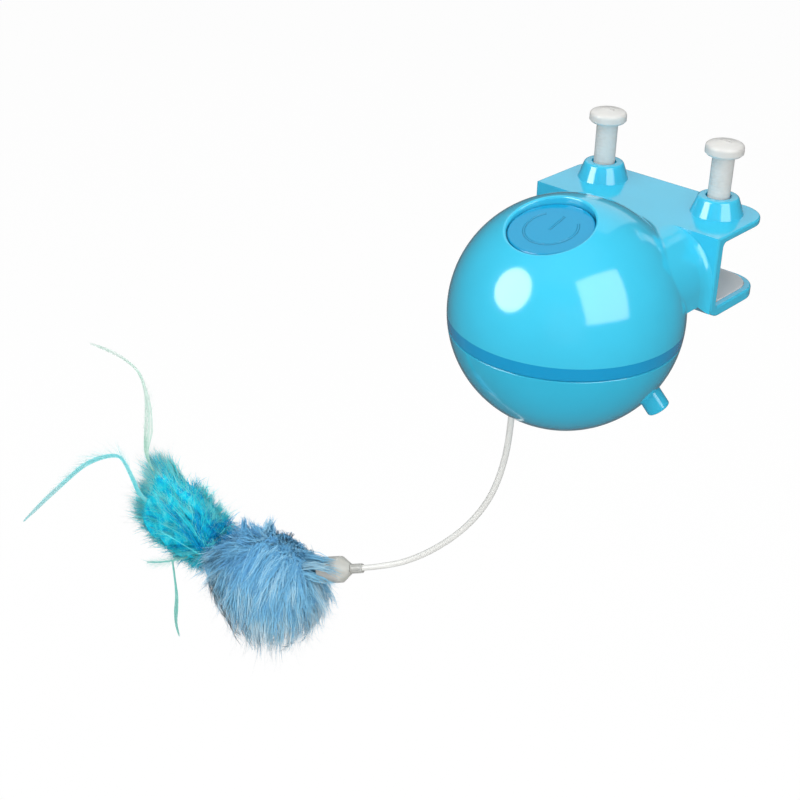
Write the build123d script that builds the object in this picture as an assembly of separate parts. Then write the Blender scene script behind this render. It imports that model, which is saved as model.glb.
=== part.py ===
from build123d import *
import math
import os

# Ball, measured from the ball's centre
ball_radius = 41.5
shell_wall = 2.4
seam_drop = 0.7
band_height = 4.6
seam_gap = 0.4
lip_round = 0.5
cut_over = 1.0
surface_tolerance = 0.004
edge_shares = (0.1, 0.5, 0.9)

# C-shaped clamp
clamp_overhang = 2.1
clamp_top_share = 0.718
top_jaw_thickness = 2.6
lower_jaw_thickness = 4.0
web_front_share = 0.7277
web_thickness = 3.8
top_jaw_back = 64.4
lower_jaw_back = 64.8
jaw_corner_radius = 10.5
clamp_bend_radius = 4.0
jaw_bend_radius = 6.5
mouth_bend_radius = 1.6
jaw_edge_round = 0.8

# Neck between ball and clamp
neck_width_share = 0.889
neck_corner_share = 0.448
crease_radius = 4.0
flare_spread = 1.9
flare_run = 4.8
flare_drop = 3.8
flare_shares = ((0.0, 0.0), (0.18, 0.5), (0.53, 0.83), (1.0, 1.0))
neck_floor = 5.6

# Screw bosses and clamp screws
screw_spacing = 49.0
screw_reach = 51.4
boss_height = 6.1
boss_top_radius = 7.1
boss_base_radius = 9.4
boss_rim_round = 1.2
screw_radius = 3.9
screw_clearance = 0.08
boss_mouth_radius = 4.6
boss_mouth_depth = 1.5
screw_tip_recess = 0.3
screw_stand = 15.1
knob_radius = 6.75
knob_height = 5.0
knob_dome = 2.6
knob_dome_share = 0.62
knob_rise_share = 0.27
knob_rim_round = 0.7
knob_slot_width = 1.0
knob_slot_length = 5.0
knob_slot_depth = 0.8
screw_tip_chamfer = 0.6

# Clamp pad
pad_half_length = 36.5
pad_depth = 28.2
pad_start = 35.4
pad_thickness = 1.5
pad_proud = 0.3
pad_back_radius = 10.0
pad_front_radius = 2.0
pad_clearance = 0.1
pad_edge_round = 0.4

# Power button, in a frame tilted towards the front
button_tilt_angle = 15.0
button_offset = 2.8
button_sink = 4.7
button_radius = 14.7
button_clearance = 0.3
button_wall = 1.3
button_skin = 1.8
button_edge_round = 0.6
flange_radius = 16.2
flange_thickness = 1.2
flange_clearance = 0.4
ledge_drop = 2.0
ledge_clearance = 0.1
collar_radius = 18.0
collar_depth = 4.3
collar_bury = 0.3
button_lip_round = 0.8
post_radius = 2.2
post_drop = 2.9

# Control board and push switch
board_drop = 7.7
board_thickness = 1.6
board_half_width = 18.0
board_front = 17.0
board_rear = 11.0
board_corner_radius = 3.0
board_hole_x = 15.8
board_hole_front = 14.6
board_hole_rear = 9.0
board_boss_radius = 2.2
board_screw_radius = 1.1
board_screw_length = 4.5
board_screw_head_radius = 2.0
board_screw_head_height = 1.4
switch_side = 8.5
switch_height = 3.4
plunger_radius = 1.6
plunger_clearance = 0.05
plunger_length = 3.3
chip_side = 7.0
chip_height = 1.0
chip_x = 10.5
chip_y = 8.0
capacitor_radius = 2.5
capacitor_height = 4.5
capacitor_x = 9.5
capacitor_y = 2.0
header_length = 9.0
header_width = 3.0
header_height = 4.0
header_y = 6.0

# Base plate, its columns and screws
floor_thickness = 2.0
floor_drop = 2.0
ring_inner_radius = 38.6
lip_outer_radius = 38.9
lip_wall = 1.5
lip_rise = 2.5
lip_gap = 0.3
column_reach = 23.3
column_radius = 3.0
base_screw_radius = 1.4
base_screw_length = 9.0
base_screw_head_radius = 2.7
base_screw_head_height = 1.6
thread_clearance = 0.05
hub_boss_radius = 8.0
hub_boss_drop = 4.3

# Battery box, cells, door
cell_radius = 5.25
cell_length = 44.5
cell_pitch = 11.2
cell_nub_radius = 1.9
cell_nub_height = 0.8
cell_count = 3
cell_end = 31.1
box_level = 15.0
box_half_width = 18.0
box_half_height = 6.8
box_wall = 1.4
box_front = 15.5
box_back = 32.2
box_leg_x = 16.2
box_leg_width = 1.6
box_leg_start = 8.0
box_leg_run = 16.0
window_clearance = 0.2
door_half_width = 23.0
door_half_height = 9.0
door_thickness = 1.6
door_corner_radius = 2.0
door_clearance = 0.15
door_screw_x = 20.6
door_screw_radius = 1.1
door_screw_length = 6.0
door_screw_head_radius = 1.9
door_screw_head_height = 0.8
door_boss_radius = 2.3
door_boss_length = 4.2
contact_thickness = 0.5
contact_width = 9.0
contact_gap = 0.2
door_contact_thickness = 1.1

# Gear train
gear_module = 0.6
pressure_angle = 20.0
addendum_share = 0.8
dedendum_share = 1.15
backlash = 0.2
output_teeth = 46
idler_small_teeth = 14
idler_large_teeth = 38
pinion_teeth = 12
motor_reach = 25.0
drive_start = 1.0
drive_thickness = 3.5
first_stage_start = -2.2
first_stage_thickness = 2.8
idler_bore_clearance = 0.06
idler_pin_radius = 1.0
idler_pin_top = 5.5
idler_pin_chamfer = 0.25
idler_boss_radius = 2.5
idler_boss_height = 0.4
pin_seat = 1.8
web_hole_count = 6
web_hole_share = 0.26
web_hole_pitch_share = 0.62

# Motor
motor_radius = 7.75
motor_height = 15.0
motor_crown = 1.6
motor_crown_radius = 3.0
motor_seat = 2.2
motor_clearance = 0.05
motor_shaft_radius = 1.0
motor_shaft_play = 0.05
motor_shaft_bury = 13.8
motor_press = 0.02
motor_plate_thickness = 1.2
motor_cup_wall = 1.25
motor_cup_height = 3.5
ear_radius = 2.7
ear_left_x = -11.5
ear_left_y = -22.0
ear_right_x = 8.5
ear_right_y = -33.5
motor_screw_radius = 1.0
motor_screw_length = 4.0
motor_screw_head_radius = 1.9
motor_screw_head_height = 1.3
motor_post_radius = 2.2

# Hub of the turning bowl
bush_outer_radius = 5.6
bush_inner_radius = 4.06
bush_proud = 0.2
hub_radius = 4.0
hub_flat = 3.3
hub_top = 4.3
gear_hub_radius = 5.2
gear_hub_gap = 0.2
fit_gap = 0.02
shoulder_radius = 5.4
shoulder_gap = 0.2
flange_top = -12.0
hub_flange_radius = 12.0
hub_flange_thickness = 2.0
gear_screw_radius = 1.4
gear_screw_length = 8.0
gear_screw_head_radius = 5.6
gear_screw_head_height = 1.6
ring_disc_inner = 8.6
ring_disc_thickness = 1.0
track_width = 1.0
track_thickness = 0.15
track_inner_one = 9.1
track_inner_two = 10.7
wiper_width = 1.4
wiper_strip = 0.3
wiper_gap = 0.1
wiper_foot = 2.4
wiper_lean = 1.2

# Turning bowl
rib_count = 6
rib_depth = 2.0
rib_width = 1.6
rib_start = 1.6
rib_spin_angle = 21.0
post_pitch_radius = 8.0
bowl_post_radius = 4.2
bowl_post_count = 3
bowl_post_spin_angle = 81.0
bowl_screw_radius = 1.5
bowl_screw_length = 5.8
bowl_screw_head_radius = 2.7
bowl_screw_head_height = 2.0
bowl_screw_seat = 4.0
bowl_bore_radius = 3.1

# Laser nozzle
nozzle_turn_angle = 21.0
nozzle_drop_angle = 38.5
nozzle_axis_angle = 52.0
nozzle_radius = 4.25
nozzle_reach = 6.3
nozzle_rim_round = 0.9
holder_length = 9.2
laser_radius = 3.0
laser_clearance = 0.05
laser_length = 10.5
laser_chamfer = 0.2
aperture_radius = 2.3
aperture_lip = 1.2
lens_thickness = 1.2
lens_gap = 0.1
laser_board_thickness = 1.0
laser_board_half_width = 2.3
laser_board_share = 0.75

# Wand: springy rod and what hangs on it
rod_radius = 1.2
socket_clearance = 0.05
socket_boss_radius = 3.0
socket_cap = 1.4
socket_end_gap = 0.2
wand_turn_angle = 201.0
run_share = 0.45
rod_route = (
    (17.0, -28.5),
    (17.0, -47.0),
    (18.6, -66.0),
    (23.6, -84.5),
    (34.2, -102.0),
    (50.3, -118.0),
    (66.5, -128.0),
    (84.1, -134.0),
)
sleeve_radius = 2.0
sleeve_length = 5.3
sleeve_offset = 3.1
sleeve_round = 0.4
ferrule_radius = 5.5
ferrule_length = 11.0
ferrule_neck_radius = 2.1
ferrule_neck_start = -3.0
ferrule_flare_end = 1.5
ferrule_wall = 0.8
ferrule_cup_start = 3.0
ferrule_chamfer = 0.25
pompom_half_width = 25.0
pompom_half_height = 30.0
pompom_drop = 13.5
throat_radius = 4.4
throat_length = 3.5
throat_gap = 0.3
crimp_radius = 1.8
crimp_length = 5.0
crimp_chamfer = 0.3
crimp_level = 8.5
crimp_gap = 0.9
blade_thickness = 1.0
blade_gap = 0.4
layer_count = 3
plume_length = 43.0
plume_rise_angle = 48.0
plume_share = 0.24
plume_swell_shares = ((0.0, 0.5), (0.2, 0.8), (0.5, 1.0), (0.8, 0.75), (1.0, 0.15))
upper_length = 95.0
upper_route_shares = (
    (0.0, 0.0),
    (0.17, 0.21),
    (0.26, 0.44),
    (0.22, 0.68),
    (0.277, 0.879),
    (0.494, 0.949),
)
upper_width_shares = (0.008, 0.012, 0.022, 0.035, 0.022, 0.012)
left_length = 95.0
left_route_shares = (
    (0.0, 0.0),
    (0.18, 0.15),
    (0.31, 0.3),
    (0.41, 0.385),
    (0.53, 0.36),
    (0.68, 0.23),
    (0.97, -0.106),
)
left_width_shares = (0.01, 0.014, 0.02, 0.024, 0.026, 0.028, 0.02, 0.01)
lower_length = 55.0
lower_route_shares = ((0.0, 0.0), (0.2, -0.1), (0.3, -0.27), (0.27, -0.562), (0.293, -0.925))
lower_width_shares = (0.01, 0.02, 0.03, 0.035, 0.012)

# Levels and places that follow from the sizes above
neck_half_width = neck_width_share * ball_radius
neck_corner_radius = neck_corner_share * ball_radius
clamp_half_length = neck_half_width + clamp_overhang
clamp_top = clamp_top_share * ball_radius
web_front = web_front_share * ball_radius
rim_level = -seam_drop
band_bottom = rim_level - band_height
bowl_level = band_bottom - seam_gap
inner_radius = ball_radius - shell_wall
jaw_under = clamp_top - top_jaw_thickness
lower_jaw_top = rim_level + lower_jaw_thickness
web_back = web_front + web_thickness
button_top = ball_radius - button_sink
ledge_level = button_top - ledge_drop
collar_start = ledge_level - collar_depth
post_end = button_top - post_drop
board_top = button_top - board_drop
pad_top = lower_jaw_top + pad_proud
pad_bottom = pad_top - pad_thickness
pad_middle = pad_start + pad_depth / 2
boss_level = clamp_top + boss_height
screw_bore = screw_radius + screw_clearance
floor_top = rim_level - floor_drop
floor_bottom = floor_top - floor_thickness
hub_boss_bottom = floor_bottom - hub_boss_drop
box_bottom = box_level - box_half_height
box_top = box_level + box_half_height
door_inner = web_back - door_thickness
drive_center = gear_module * (output_teeth + idler_small_teeth) / 2
first_center = gear_module * (idler_large_teeth + pinion_teeth) / 2
idler_y = (first_center**2 - drive_center**2 - motor_reach**2) / (2 * motor_reach)
idler_x = math.sqrt(drive_center**2 - idler_y**2)
drive_direction = math.degrees(math.atan2(idler_y, idler_x))
first_direction = math.degrees(math.atan2(-motor_reach - idler_y, -idler_x))
rod_top = rod_route[0][1]
rod_reach = rod_route[0][0]

center_min = (Align.CENTER, Align.CENTER, Align.MIN)
center_max = (Align.CENTER, Align.CENTER, Align.MAX)


def rod(radius, start, end):
    return Pos(0, 0, start) * Cylinder(radius, end - start, align=center_min)


def ring(outer, inner, start, end):
    return rod(outer, start, end) - rod(inner, start - cut_over, end + cut_over)


def block(x_start, x_end, y_start, y_end, z_start, z_end):
    box = Box(x_end - x_start, y_end - y_start, z_end - z_start, align=(Align.MIN,) * 3)
    return Pos(x_start, y_start, z_start) * box


def slab_above(level):
    span = 4 * ball_radius
    return Pos(0, 0, level) * Box(span, span, span, align=center_min)


def slab_below(level):
    span = 4 * ball_radius
    return Pos(0, 0, level) * Box(span, span, span, align=center_max)


def at_columns(shape):
    return [
        Pos(x * column_reach, y * column_reach, 0) * shape for x in (-1, 1) for y in (-1, 1)
    ]


def tilted(shape):
    return Rot(button_tilt_angle, 0, 0) * shape


def button_axis(shape):
    return Pos(0, -button_offset, 0) * shape


def at_board_holes(shape):
    return [
        Pos(x * board_hole_x, y, 0) * shape
        for x in (-1, 1)
        for y in (-board_hole_front, board_hole_rear)
    ]


# Upper shell: dome, neck and clamp
def neck_section(half_width, top, bottom, corner, y):
    chord = corner * (1 - math.sin(math.pi / 4))
    with BuildLine() as outline:
        Polyline(
            (half_width, y, top - corner),
            (half_width, y, bottom),
            (-half_width, y, bottom),
            (-half_width, y, top - corner),
        )
        ThreePointArc(
            (-half_width, y, top - corner),
            (-half_width + chord, y, top - chord),
            (-half_width + corner, y, top),
        )
        Line((-half_width + corner, y, top), (half_width - corner, y, top))
        ThreePointArc(
            (half_width - corner, y, top),
            (half_width - chord, y, top - chord),
            (half_width, y, top - corner),
        )
    return Face(Wire(outline.line.edges()))


def outer_section(spread, drop, y):
    half_width = neck_half_width + spread
    return neck_section(half_width, clamp_top, neck_floor - drop, neck_corner_radius, y)


def on_sphere(edge):
    points = [edge @ share for share in edge_shares]
    return all(abs(point.length - ball_radius) < surface_tolerance for point in points)


def on_crease(edge):
    return on_sphere(edge) and edge.center().Y > 0 and edge.center().Z > neck_floor + fit_gap


def dome_with_neck():
    dome = Sphere(ball_radius) & slab_above(rim_level)
    body = dome + extrude(outer_section(0, 0, 0), top_jaw_back, dir=(0, 1, 0))
    body = fillet([edge for edge in body.edges() if on_crease(edge)], crease_radius)
    span = 4 * ball_radius
    body -= Pos(0, web_front + web_thickness / 2 + span / 2, 0) * Box(span, span, span)
    start = web_front - flare_run
    sections = [
        outer_section(flare_spread * out, flare_drop * along, start + flare_run * along)
        for out, along in flare_shares
    ]
    root = extrude(sections[-1], web_thickness / 2, dir=(0, 1, 0))
    return body + loft(sections) + root


def clamp_frame():
    with BuildLine(Plane.YZ) as outline:
        Polyline(
            (web_front, rim_level),
            (lower_jaw_back, rim_level),
            (lower_jaw_back, lower_jaw_top),
            (web_back, lower_jaw_top),
            (web_back, jaw_under),
            (top_jaw_back, jaw_under),
            (top_jaw_back, clamp_top),
            (web_front, clamp_top),
            close=True,
        )
    frame = extrude(make_face(outline.line.edges()), clamp_half_length, both=True)
    long_edges = frame.edges().filter_by(Axis.X)
    bends = [e for e in long_edges if abs(e.center().Y - web_front) < cut_over]
    frame = fillet([e for e in bends if e.center().Z > 0], clamp_bend_radius)
    frame = fillet([e for e in bends if e.center().Z < 0], jaw_bend_radius)
    long_edges = frame.edges().filter_by(Axis.X)
    mouth = [e for e in long_edges if abs(e.center().Y - web_back) < cut_over]
    frame = fillet(mouth, mouth_bend_radius)
    upright = frame.edges().filter_by(Axis.Z)
    corners = [e for e in upright if e.center().Y > web_back + jaw_corner_radius]
    frame = fillet(corners, jaw_corner_radius)
    back = web_back + jaw_corner_radius
    rims = [e for e in frame.edges() if e.bounding_box().max.Y > back and is_flat(e)]
    return fillet(rims, jaw_edge_round)


def is_flat(edge):
    box = edge.bounding_box()
    return box.max.Z - box.min.Z < fit_gap and box.max.Y - box.min.Y + box.size.X > fit_gap


def screw_boss():
    foot = clamp_top - top_jaw_thickness / 2
    cone = Cone(boss_base_radius, boss_top_radius, boss_height, align=center_min)
    boss = Pos(0, 0, clamp_top) * cone
    boss = fillet(boss.edges().sort_by(Axis.Z)[-1], boss_rim_round)
    return boss + rod(boss_base_radius, foot, clamp_top)


def at_screws(shape):
    return [Pos(x * screw_spacing / 2, screw_reach, 0) * shape for x in (-1, 1)]


def screw_bores():
    mouth = boss_level - boss_mouth_depth
    bore = rod(screw_bore, jaw_under - cut_over, boss_level + cut_over)
    return at_screws(bore + rod(boss_mouth_radius, mouth, boss_level + cut_over))


def pad_outline(clearance):
    length = 2 * (pad_half_length + clearance)
    shape = Rectangle(length, pad_depth + 2 * clearance)
    back = shape.vertices().sort_by(Axis.Y)[2:]
    shape = fillet(back, pad_back_radius + clearance)
    front = shape.vertices().sort_by(Axis.Y)[:2]
    return fillet(front, pad_front_radius + clearance)


def pad_pocket():
    pocket = extrude(pad_outline(pad_clearance), pad_thickness + cut_over)
    return Pos(0, pad_middle, pad_bottom) * pocket


def shell_cavity():
    cavity = Sphere(inner_radius) & slab_above(rim_level - cut_over)
    span = 2 * ball_radius
    half_width = neck_half_width - shell_wall
    top = clamp_top - shell_wall
    corner = neck_corner_radius - shell_wall
    cavity -= block(-ball_radius, ball_radius, web_front, ball_radius, rim_level - span, span)
    section = neck_section(half_width, top, neck_floor + shell_wall, corner, 0)
    return cavity + extrude(section, web_front, dir=(0, 1, 0))


def button_well():
    hole = rod(button_radius + button_clearance, ledge_level - cut_over, 2 * ball_radius)
    pocket = rod(flange_radius + flange_clearance, collar_start - cut_over, ledge_level)
    return tilted(button_axis(hole + pocket))


def button_collar():
    collar = tilted(button_axis(rod(collar_radius, collar_start, ball_radius)))
    return collar & Sphere(ball_radius - collar_bury)


def on_well_rim(edge):
    ledge_height = ledge_level * math.cos(math.radians(button_tilt_angle))
    return on_sphere(edge) and edge.center().Z > ledge_height


def board_bosses():
    boss = rod(board_boss_radius, board_top, ball_radius)
    bosses = [tilted(item) & Sphere(ball_radius - collar_bury) for item in at_board_holes(boss)]
    return bosses


def board_screw_holes():
    end = board_top + board_screw_length
    hole = rod(board_screw_radius + thread_clearance, board_top - cut_over, end)
    return [tilted(item) for item in at_board_holes(hole)]


def base_columns():
    column = rod(column_radius, floor_top, ball_radius)
    return [item & Sphere(ball_radius - collar_bury) for item in at_columns(column)]


def base_screw_holes():
    end = floor_bottom + base_screw_length + thread_clearance
    return at_columns(rod(base_screw_radius + thread_clearance, floor_bottom - cut_over, end))


def battery_window():
    half_width = box_half_width + window_clearance
    bottom = box_bottom - window_clearance
    top = box_top + window_clearance
    return block(-half_width, half_width, web_front - cut_over, web_back, bottom, top)


def door_outline(clearance):
    shape = RectangleRounded(
        2 * (door_half_width + clearance),
        2 * (door_half_height + clearance),
        door_corner_radius + clearance,
    )
    return Pos(0, 0, box_level) * (Rot(90, 0, 0) * shape)


def door_recess():
    face = Pos(0, door_inner, 0) * door_outline(door_clearance)
    return extrude(face, door_thickness + cut_over, dir=(0, 1, 0))


def along_y(radius, y_start, y_end, x):
    bar = Rot(-90, 0, 0) * Cylinder(radius, y_end - y_start, align=center_min)
    return Pos(x, y_start, box_level) * bar


def door_bosses():
    start = web_front - door_boss_length
    return [along_y(door_boss_radius, start, web_front, x * door_screw_x) for x in (-1, 1)]


def door_screw_holes(radius):
    start = web_back - door_screw_length - thread_clearance
    return [along_y(radius, start, web_back + cut_over, x * door_screw_x) for x in (-1, 1)]


def upper_shell():
    shell = dome_with_neck() + clamp_frame()
    shell += at_screws(screw_boss())
    shell -= shell_cavity()
    shell += button_collar()
    shell += board_bosses()
    shell += base_columns()
    shell += door_bosses()
    shell -= button_well()
    rim = [edge for edge in shell.edges() if on_well_rim(edge)]
    shell = fillet(rim, button_lip_round)
    shell -= screw_bores()
    shell -= pad_pocket()
    shell -= battery_window()
    shell -= door_recess()
    shell -= door_screw_holes(door_screw_radius + thread_clearance)
    shell -= board_screw_holes()
    return shell - base_screw_holes()


# Base plate with the blue band
def gear_post(x, y, radius, top):
    return Pos(x, y, 0) * rod(radius, floor_bottom, top)


def motor_posts():
    top = motor_seat - motor_plate_thickness
    left = gear_post(ear_left_x, ear_left_y, motor_post_radius, top)
    return [left, gear_post(ear_right_x, ear_right_y, motor_post_radius, top)]


def motor_screw_holes(radius):
    start = motor_seat - motor_screw_length
    hole = rod(radius, start, motor_seat + cut_over)
    return [Pos(ear_left_x, ear_left_y, 0) * hole, Pos(ear_right_x, ear_right_y, 0) * hole]


def base_plate():
    band = (Sphere(ball_radius) & slab_above(band_bottom)) & slab_below(rim_level)
    band -= rod(ring_inner_radius, band_bottom - cut_over, rim_level + cut_over)
    plate = band + rod(ring_inner_radius, floor_bottom, floor_top)
    lip_top = rim_level + lip_rise
    lip = ring(lip_outer_radius, lip_outer_radius - lip_wall, floor_bottom, lip_top)
    lip_back = web_front - lip_gap
    plate += lip - block(-ball_radius, ball_radius, lip_back, ball_radius, rim_level, ball_radius)
    plate += rod(hub_boss_radius, hub_boss_bottom, floor_top)
    plate += motor_posts()
    plate += gear_post(idler_x, idler_y, idler_boss_radius, floor_top + idler_boss_height)
    plate -= rod(bush_outer_radius + fit_gap, hub_boss_bottom - cut_over, floor_top + cut_over)
    plate -= motor_screw_holes(motor_screw_radius + thread_clearance)
    pin_bottom = floor_top - pin_seat
    hole = rod(idler_pin_radius + fit_gap, pin_bottom, floor_top + cut_over)
    plate -= Pos(idler_x, idler_y, 0) * hole
    return plate - base_screw_holes()


def base_screws():
    shank = rod(base_screw_radius, floor_bottom, floor_bottom + base_screw_length)
    head = rod(base_screw_head_radius, floor_bottom - base_screw_head_height, floor_bottom)
    head = fillet(head.edges().sort_by(Axis.Z)[0], base_screw_head_height / 2)
    return at_columns(shank + head)


def clamp_pad():
    pad = extrude(pad_outline(0), pad_thickness)
    pad = fillet(pad.faces().sort_by(Axis.Z)[-1].edges(), pad_edge_round)
    return Pos(0, pad_middle, pad_bottom) * pad


# Battery box, cells and door
def cell_places():
    first = -(cell_count - 1) / 2 * cell_pitch
    return [first + index * cell_pitch for index in range(cell_count)]


def battery_box():
    box = block(-box_half_width, box_half_width, -box_front, box_back, box_bottom, box_top)
    inside = box_half_width - box_wall
    bottom = box_bottom + box_wall
    top = box_top - box_wall
    start = -box_front + box_wall
    box -= block(-inside, inside, start, box_back + cut_over, bottom, top)
    for side in (-1, 1):
        middle = side * box_leg_x
        left = middle - box_leg_width / 2
        right = middle + box_leg_width / 2
        end = box_leg_start + box_leg_run
        box += block(left, right, box_leg_start, end, floor_top, box_bottom)
    return box


def battery_cells():
    start = cell_end - cell_length
    cells = []
    for index, x in enumerate(cell_places()):
        can_start = start + (cell_nub_height if index % 2 else 0)
        can_end = cell_end - (0 if index % 2 else cell_nub_height)
        can = along_y(cell_radius, can_start, can_end, x)
        can = fillet(can.edges().filter_by(GeomType.CIRCLE), cell_nub_height)
        cells.append(can + along_y(cell_nub_radius, start, cell_end, x))
    return cells


def contact_plates(y_start, y_end):
    half = contact_width / 2
    bottom = box_level - half
    top = box_level + half
    return [block(x - half, x + half, y_start, y_end, bottom, top) for x in cell_places()]


def cell_contacts():
    start = cell_end - cell_length - contact_gap - contact_thickness
    return contact_plates(start, start + contact_thickness)


def door_contacts():
    return contact_plates(door_inner - door_contact_thickness, door_inner)


def battery_door():
    face = Pos(0, door_inner, 0) * door_outline(0)
    door = extrude(face, door_thickness, dir=(0, 1, 0))
    door -= door_screw_holes(door_screw_radius + thread_clearance)
    seat = web_back - door_screw_head_height
    heads = door_screw_head_radius + thread_clearance
    door -= [along_y(heads, seat, web_back + cut_over, x * door_screw_x) for x in (-1, 1)]
    return door


def door_screws():
    start = web_back - door_screw_length
    seat = web_back - door_screw_head_height
    screws = []
    for side in (-1, 1):
        shank = along_y(door_screw_radius, start, seat, side * door_screw_x)
        screws.append(shank + along_y(door_screw_head_radius, seat, web_back, side * door_screw_x))
    return screws


# Control board and push button
def control_board():
    depth = board_front + board_rear
    outline = RectangleRounded(2 * board_half_width, depth, board_corner_radius)
    board = Pos(0, (board_rear - board_front) / 2, board_top - board_thickness) * extrude(
        outline, board_thickness
    )
    hole = rod(board_screw_radius + thread_clearance, board_top - 2 * board_thickness, 2 * board_top)
    return tilted(board - at_board_holes(hole))


def board_screws():
    under = board_top - board_thickness
    head = rod(board_screw_head_radius, under - board_screw_head_height, under)
    shank = rod(board_screw_radius, under, board_top + board_screw_length - board_thickness)
    return [tilted(item) for item in at_board_holes(shank + head)]


def board_parts():
    under = board_top - board_thickness
    chip = Pos(-chip_x, -chip_y, board_top) * Box(chip_side, chip_side, chip_height, align=center_min)
    can = Pos(capacitor_x, capacitor_y, 0) * rod(capacitor_radius, under - capacitor_height, under)
    header = Box(header_length, header_width, header_height, align=center_max)
    return [tilted(chip), tilted(can), tilted(Pos(0, header_y, under) * header)]


def push_switch():
    body = Box(switch_side, switch_side, switch_height, align=center_min)
    body = Pos(0, 0, board_top) * body
    body -= rod(plunger_radius + plunger_clearance, board_top + contact_gap, 2 * board_top)
    return tilted(button_axis(body))


def switch_plunger():
    return tilted(button_axis(rod(plunger_radius, post_end - plunger_length, post_end)))


def power_button():
    flange_top_level = ledge_level - ledge_clearance
    flange_bottom = flange_top_level - flange_thickness
    cap = rod(button_radius, flange_bottom, button_top)
    cap = fillet(cap.edges().sort_by(Axis.Z)[-1], button_edge_round)
    cap += rod(flange_radius, flange_bottom, flange_top_level)
    ceiling = button_top - button_skin
    cap -= rod(button_radius - button_wall, flange_bottom - cut_over, ceiling)
    cap += rod(post_radius, post_end, ceiling)
    return tilted(button_axis(cap))


# Clamp screws
def clamp_screw():
    tip = jaw_under + screw_tip_recess
    seat = boss_level + screw_stand
    top = seat + knob_height
    rim = top - knob_dome
    side = knob_radius * knob_dome_share
    crown = top - knob_dome * knob_rise_share
    with BuildLine(Plane.XZ) as outline:
        Polyline(
            (0, top),
            (0, tip),
            (screw_radius - screw_tip_chamfer, tip),
            (screw_radius, tip + screw_tip_chamfer),
            (screw_radius, seat),
            (knob_radius - knob_rim_round, seat),
            (knob_radius, seat + knob_rim_round),
            (knob_radius, rim),
        )
        Spline((knob_radius, rim), (side, crown), (0, top), tangents=[(0, 1), (-1, 0)])
    screw = revolve(make_face(outline.line.edges()), Axis.Z)
    slot = Box(knob_slot_length, knob_slot_width, knob_dome + knob_slot_depth, align=center_min)
    return screw - Pos(0, 0, top - knob_slot_depth) * slot


# Gear train
def involute_angle(radius, base):
    roll = math.sqrt(max((radius / base) ** 2 - 1, 0))
    return roll - math.atan(roll)


def gear_outline(teeth, center_angle):
    pitch = gear_module * teeth / 2
    base = pitch * math.cos(math.radians(pressure_angle))
    tip = pitch + addendum_share * gear_module
    root = pitch - dedendum_share * gear_module
    half = (math.pi * gear_module / 2 - backlash / 2) / (2 * pitch) + involute_angle(pitch, base)
    start = max(base, root)
    radii = [root] + [start + (tip - start) * share for share in (0, 0.5, 1)]
    if start == root:
        radii = radii[1:]
    points = []
    for index in range(teeth):
        middle = math.radians(center_angle) + 2 * math.pi * index / teeth
        flank = [(radius, half - involute_angle(radius, base)) for radius in radii]
        sides = [(radius, middle - angle) for radius, angle in flank]
        sides += [(radius, middle + angle) for radius, angle in reversed(flank)]
        points += [(r * math.cos(a), r * math.sin(a)) for r, a in sides]
    return make_face(Polyline(*points, close=True).edges())


def gear(teeth, center_angle, start, thickness):
    return Pos(0, 0, start) * extrude(gear_outline(teeth, center_angle), thickness)


def output_gear():
    pitch = gear_module * output_teeth / 2
    wheel = gear(output_teeth, drive_direction, drive_start, drive_thickness)
    hub_bottom = floor_top + bush_proud + gear_hub_gap
    wheel += rod(gear_hub_radius, hub_bottom, drive_start)
    hole = rod(web_hole_share * pitch / 2, drive_start - cut_over, 2 * drive_thickness + drive_start)
    for index in range(web_hole_count):
        turn = 360 / web_hole_count * index
        wheel -= Rot(0, 0, turn) * Pos(web_hole_pitch_share * pitch + fit_gap, 0, 0) * hole
    return wheel - d_shape(fit_gap, hub_bottom - cut_over, drive_start + 2 * drive_thickness)


def d_shape(clearance, start, end):
    bar = rod(hub_radius + clearance, start, end)
    flat = hub_flat + clearance
    return bar - block(flat, 2 * hub_radius, -2 * hub_radius, 2 * hub_radius, start, end)


def idler_gear():
    large_start = first_stage_start
    large = gear(idler_large_teeth, first_direction, large_start, first_stage_thickness)
    small_top = drive_start + drive_thickness
    small_bottom = first_stage_start + first_stage_thickness / 2
    phase = drive_direction + 180 + 180 / idler_small_teeth
    wheel = large + gear(idler_small_teeth, phase, small_bottom, small_top - small_bottom)
    bore = idler_pin_radius + idler_bore_clearance
    wheel -= rod(bore, large_start - cut_over, small_top + cut_over)
    return Pos(idler_x, idler_y, 0) * wheel


def motor_pinion():
    phase = first_direction + 180 + 180 / pinion_teeth
    wheel = gear(pinion_teeth, phase, first_stage_start, first_stage_thickness)
    bore = rod(motor_shaft_radius + motor_press, first_stage_start - cut_over, drive_start)
    return Pos(0, -motor_reach, 0) * (wheel - bore)


def idler_pin():
    pin = rod(idler_pin_radius, floor_top - pin_seat, idler_pin_top)
    pin = chamfer(pin.edges().sort_by(Axis.Z)[-1], idler_pin_chamfer)
    return Pos(idler_x, idler_y, 0) * pin


# Motor and its plate
def motor_plate():
    start = motor_seat - motor_plate_thickness
    cup_radius = motor_radius + motor_clearance + motor_cup_wall
    disc = Circle(cup_radius)
    left = Pos(ear_left_x, ear_left_y + motor_reach) * Circle(ear_radius)
    right = Pos(ear_right_x, ear_right_y + motor_reach) * Circle(ear_radius)
    outline = make_hull((disc + left).edges()) + make_hull((disc + right).edges())
    plate = Pos(0, 0, start) * extrude(outline, motor_plate_thickness)
    bore = motor_radius + motor_clearance
    plate += ring(cup_radius, bore, motor_seat, motor_seat + motor_cup_height)
    plate -= rod(motor_crown_radius, start - cut_over, motor_seat + cut_over)
    plate = Pos(0, -motor_reach, 0) * plate
    return plate - motor_screw_holes(motor_screw_radius + thread_clearance)


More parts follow.
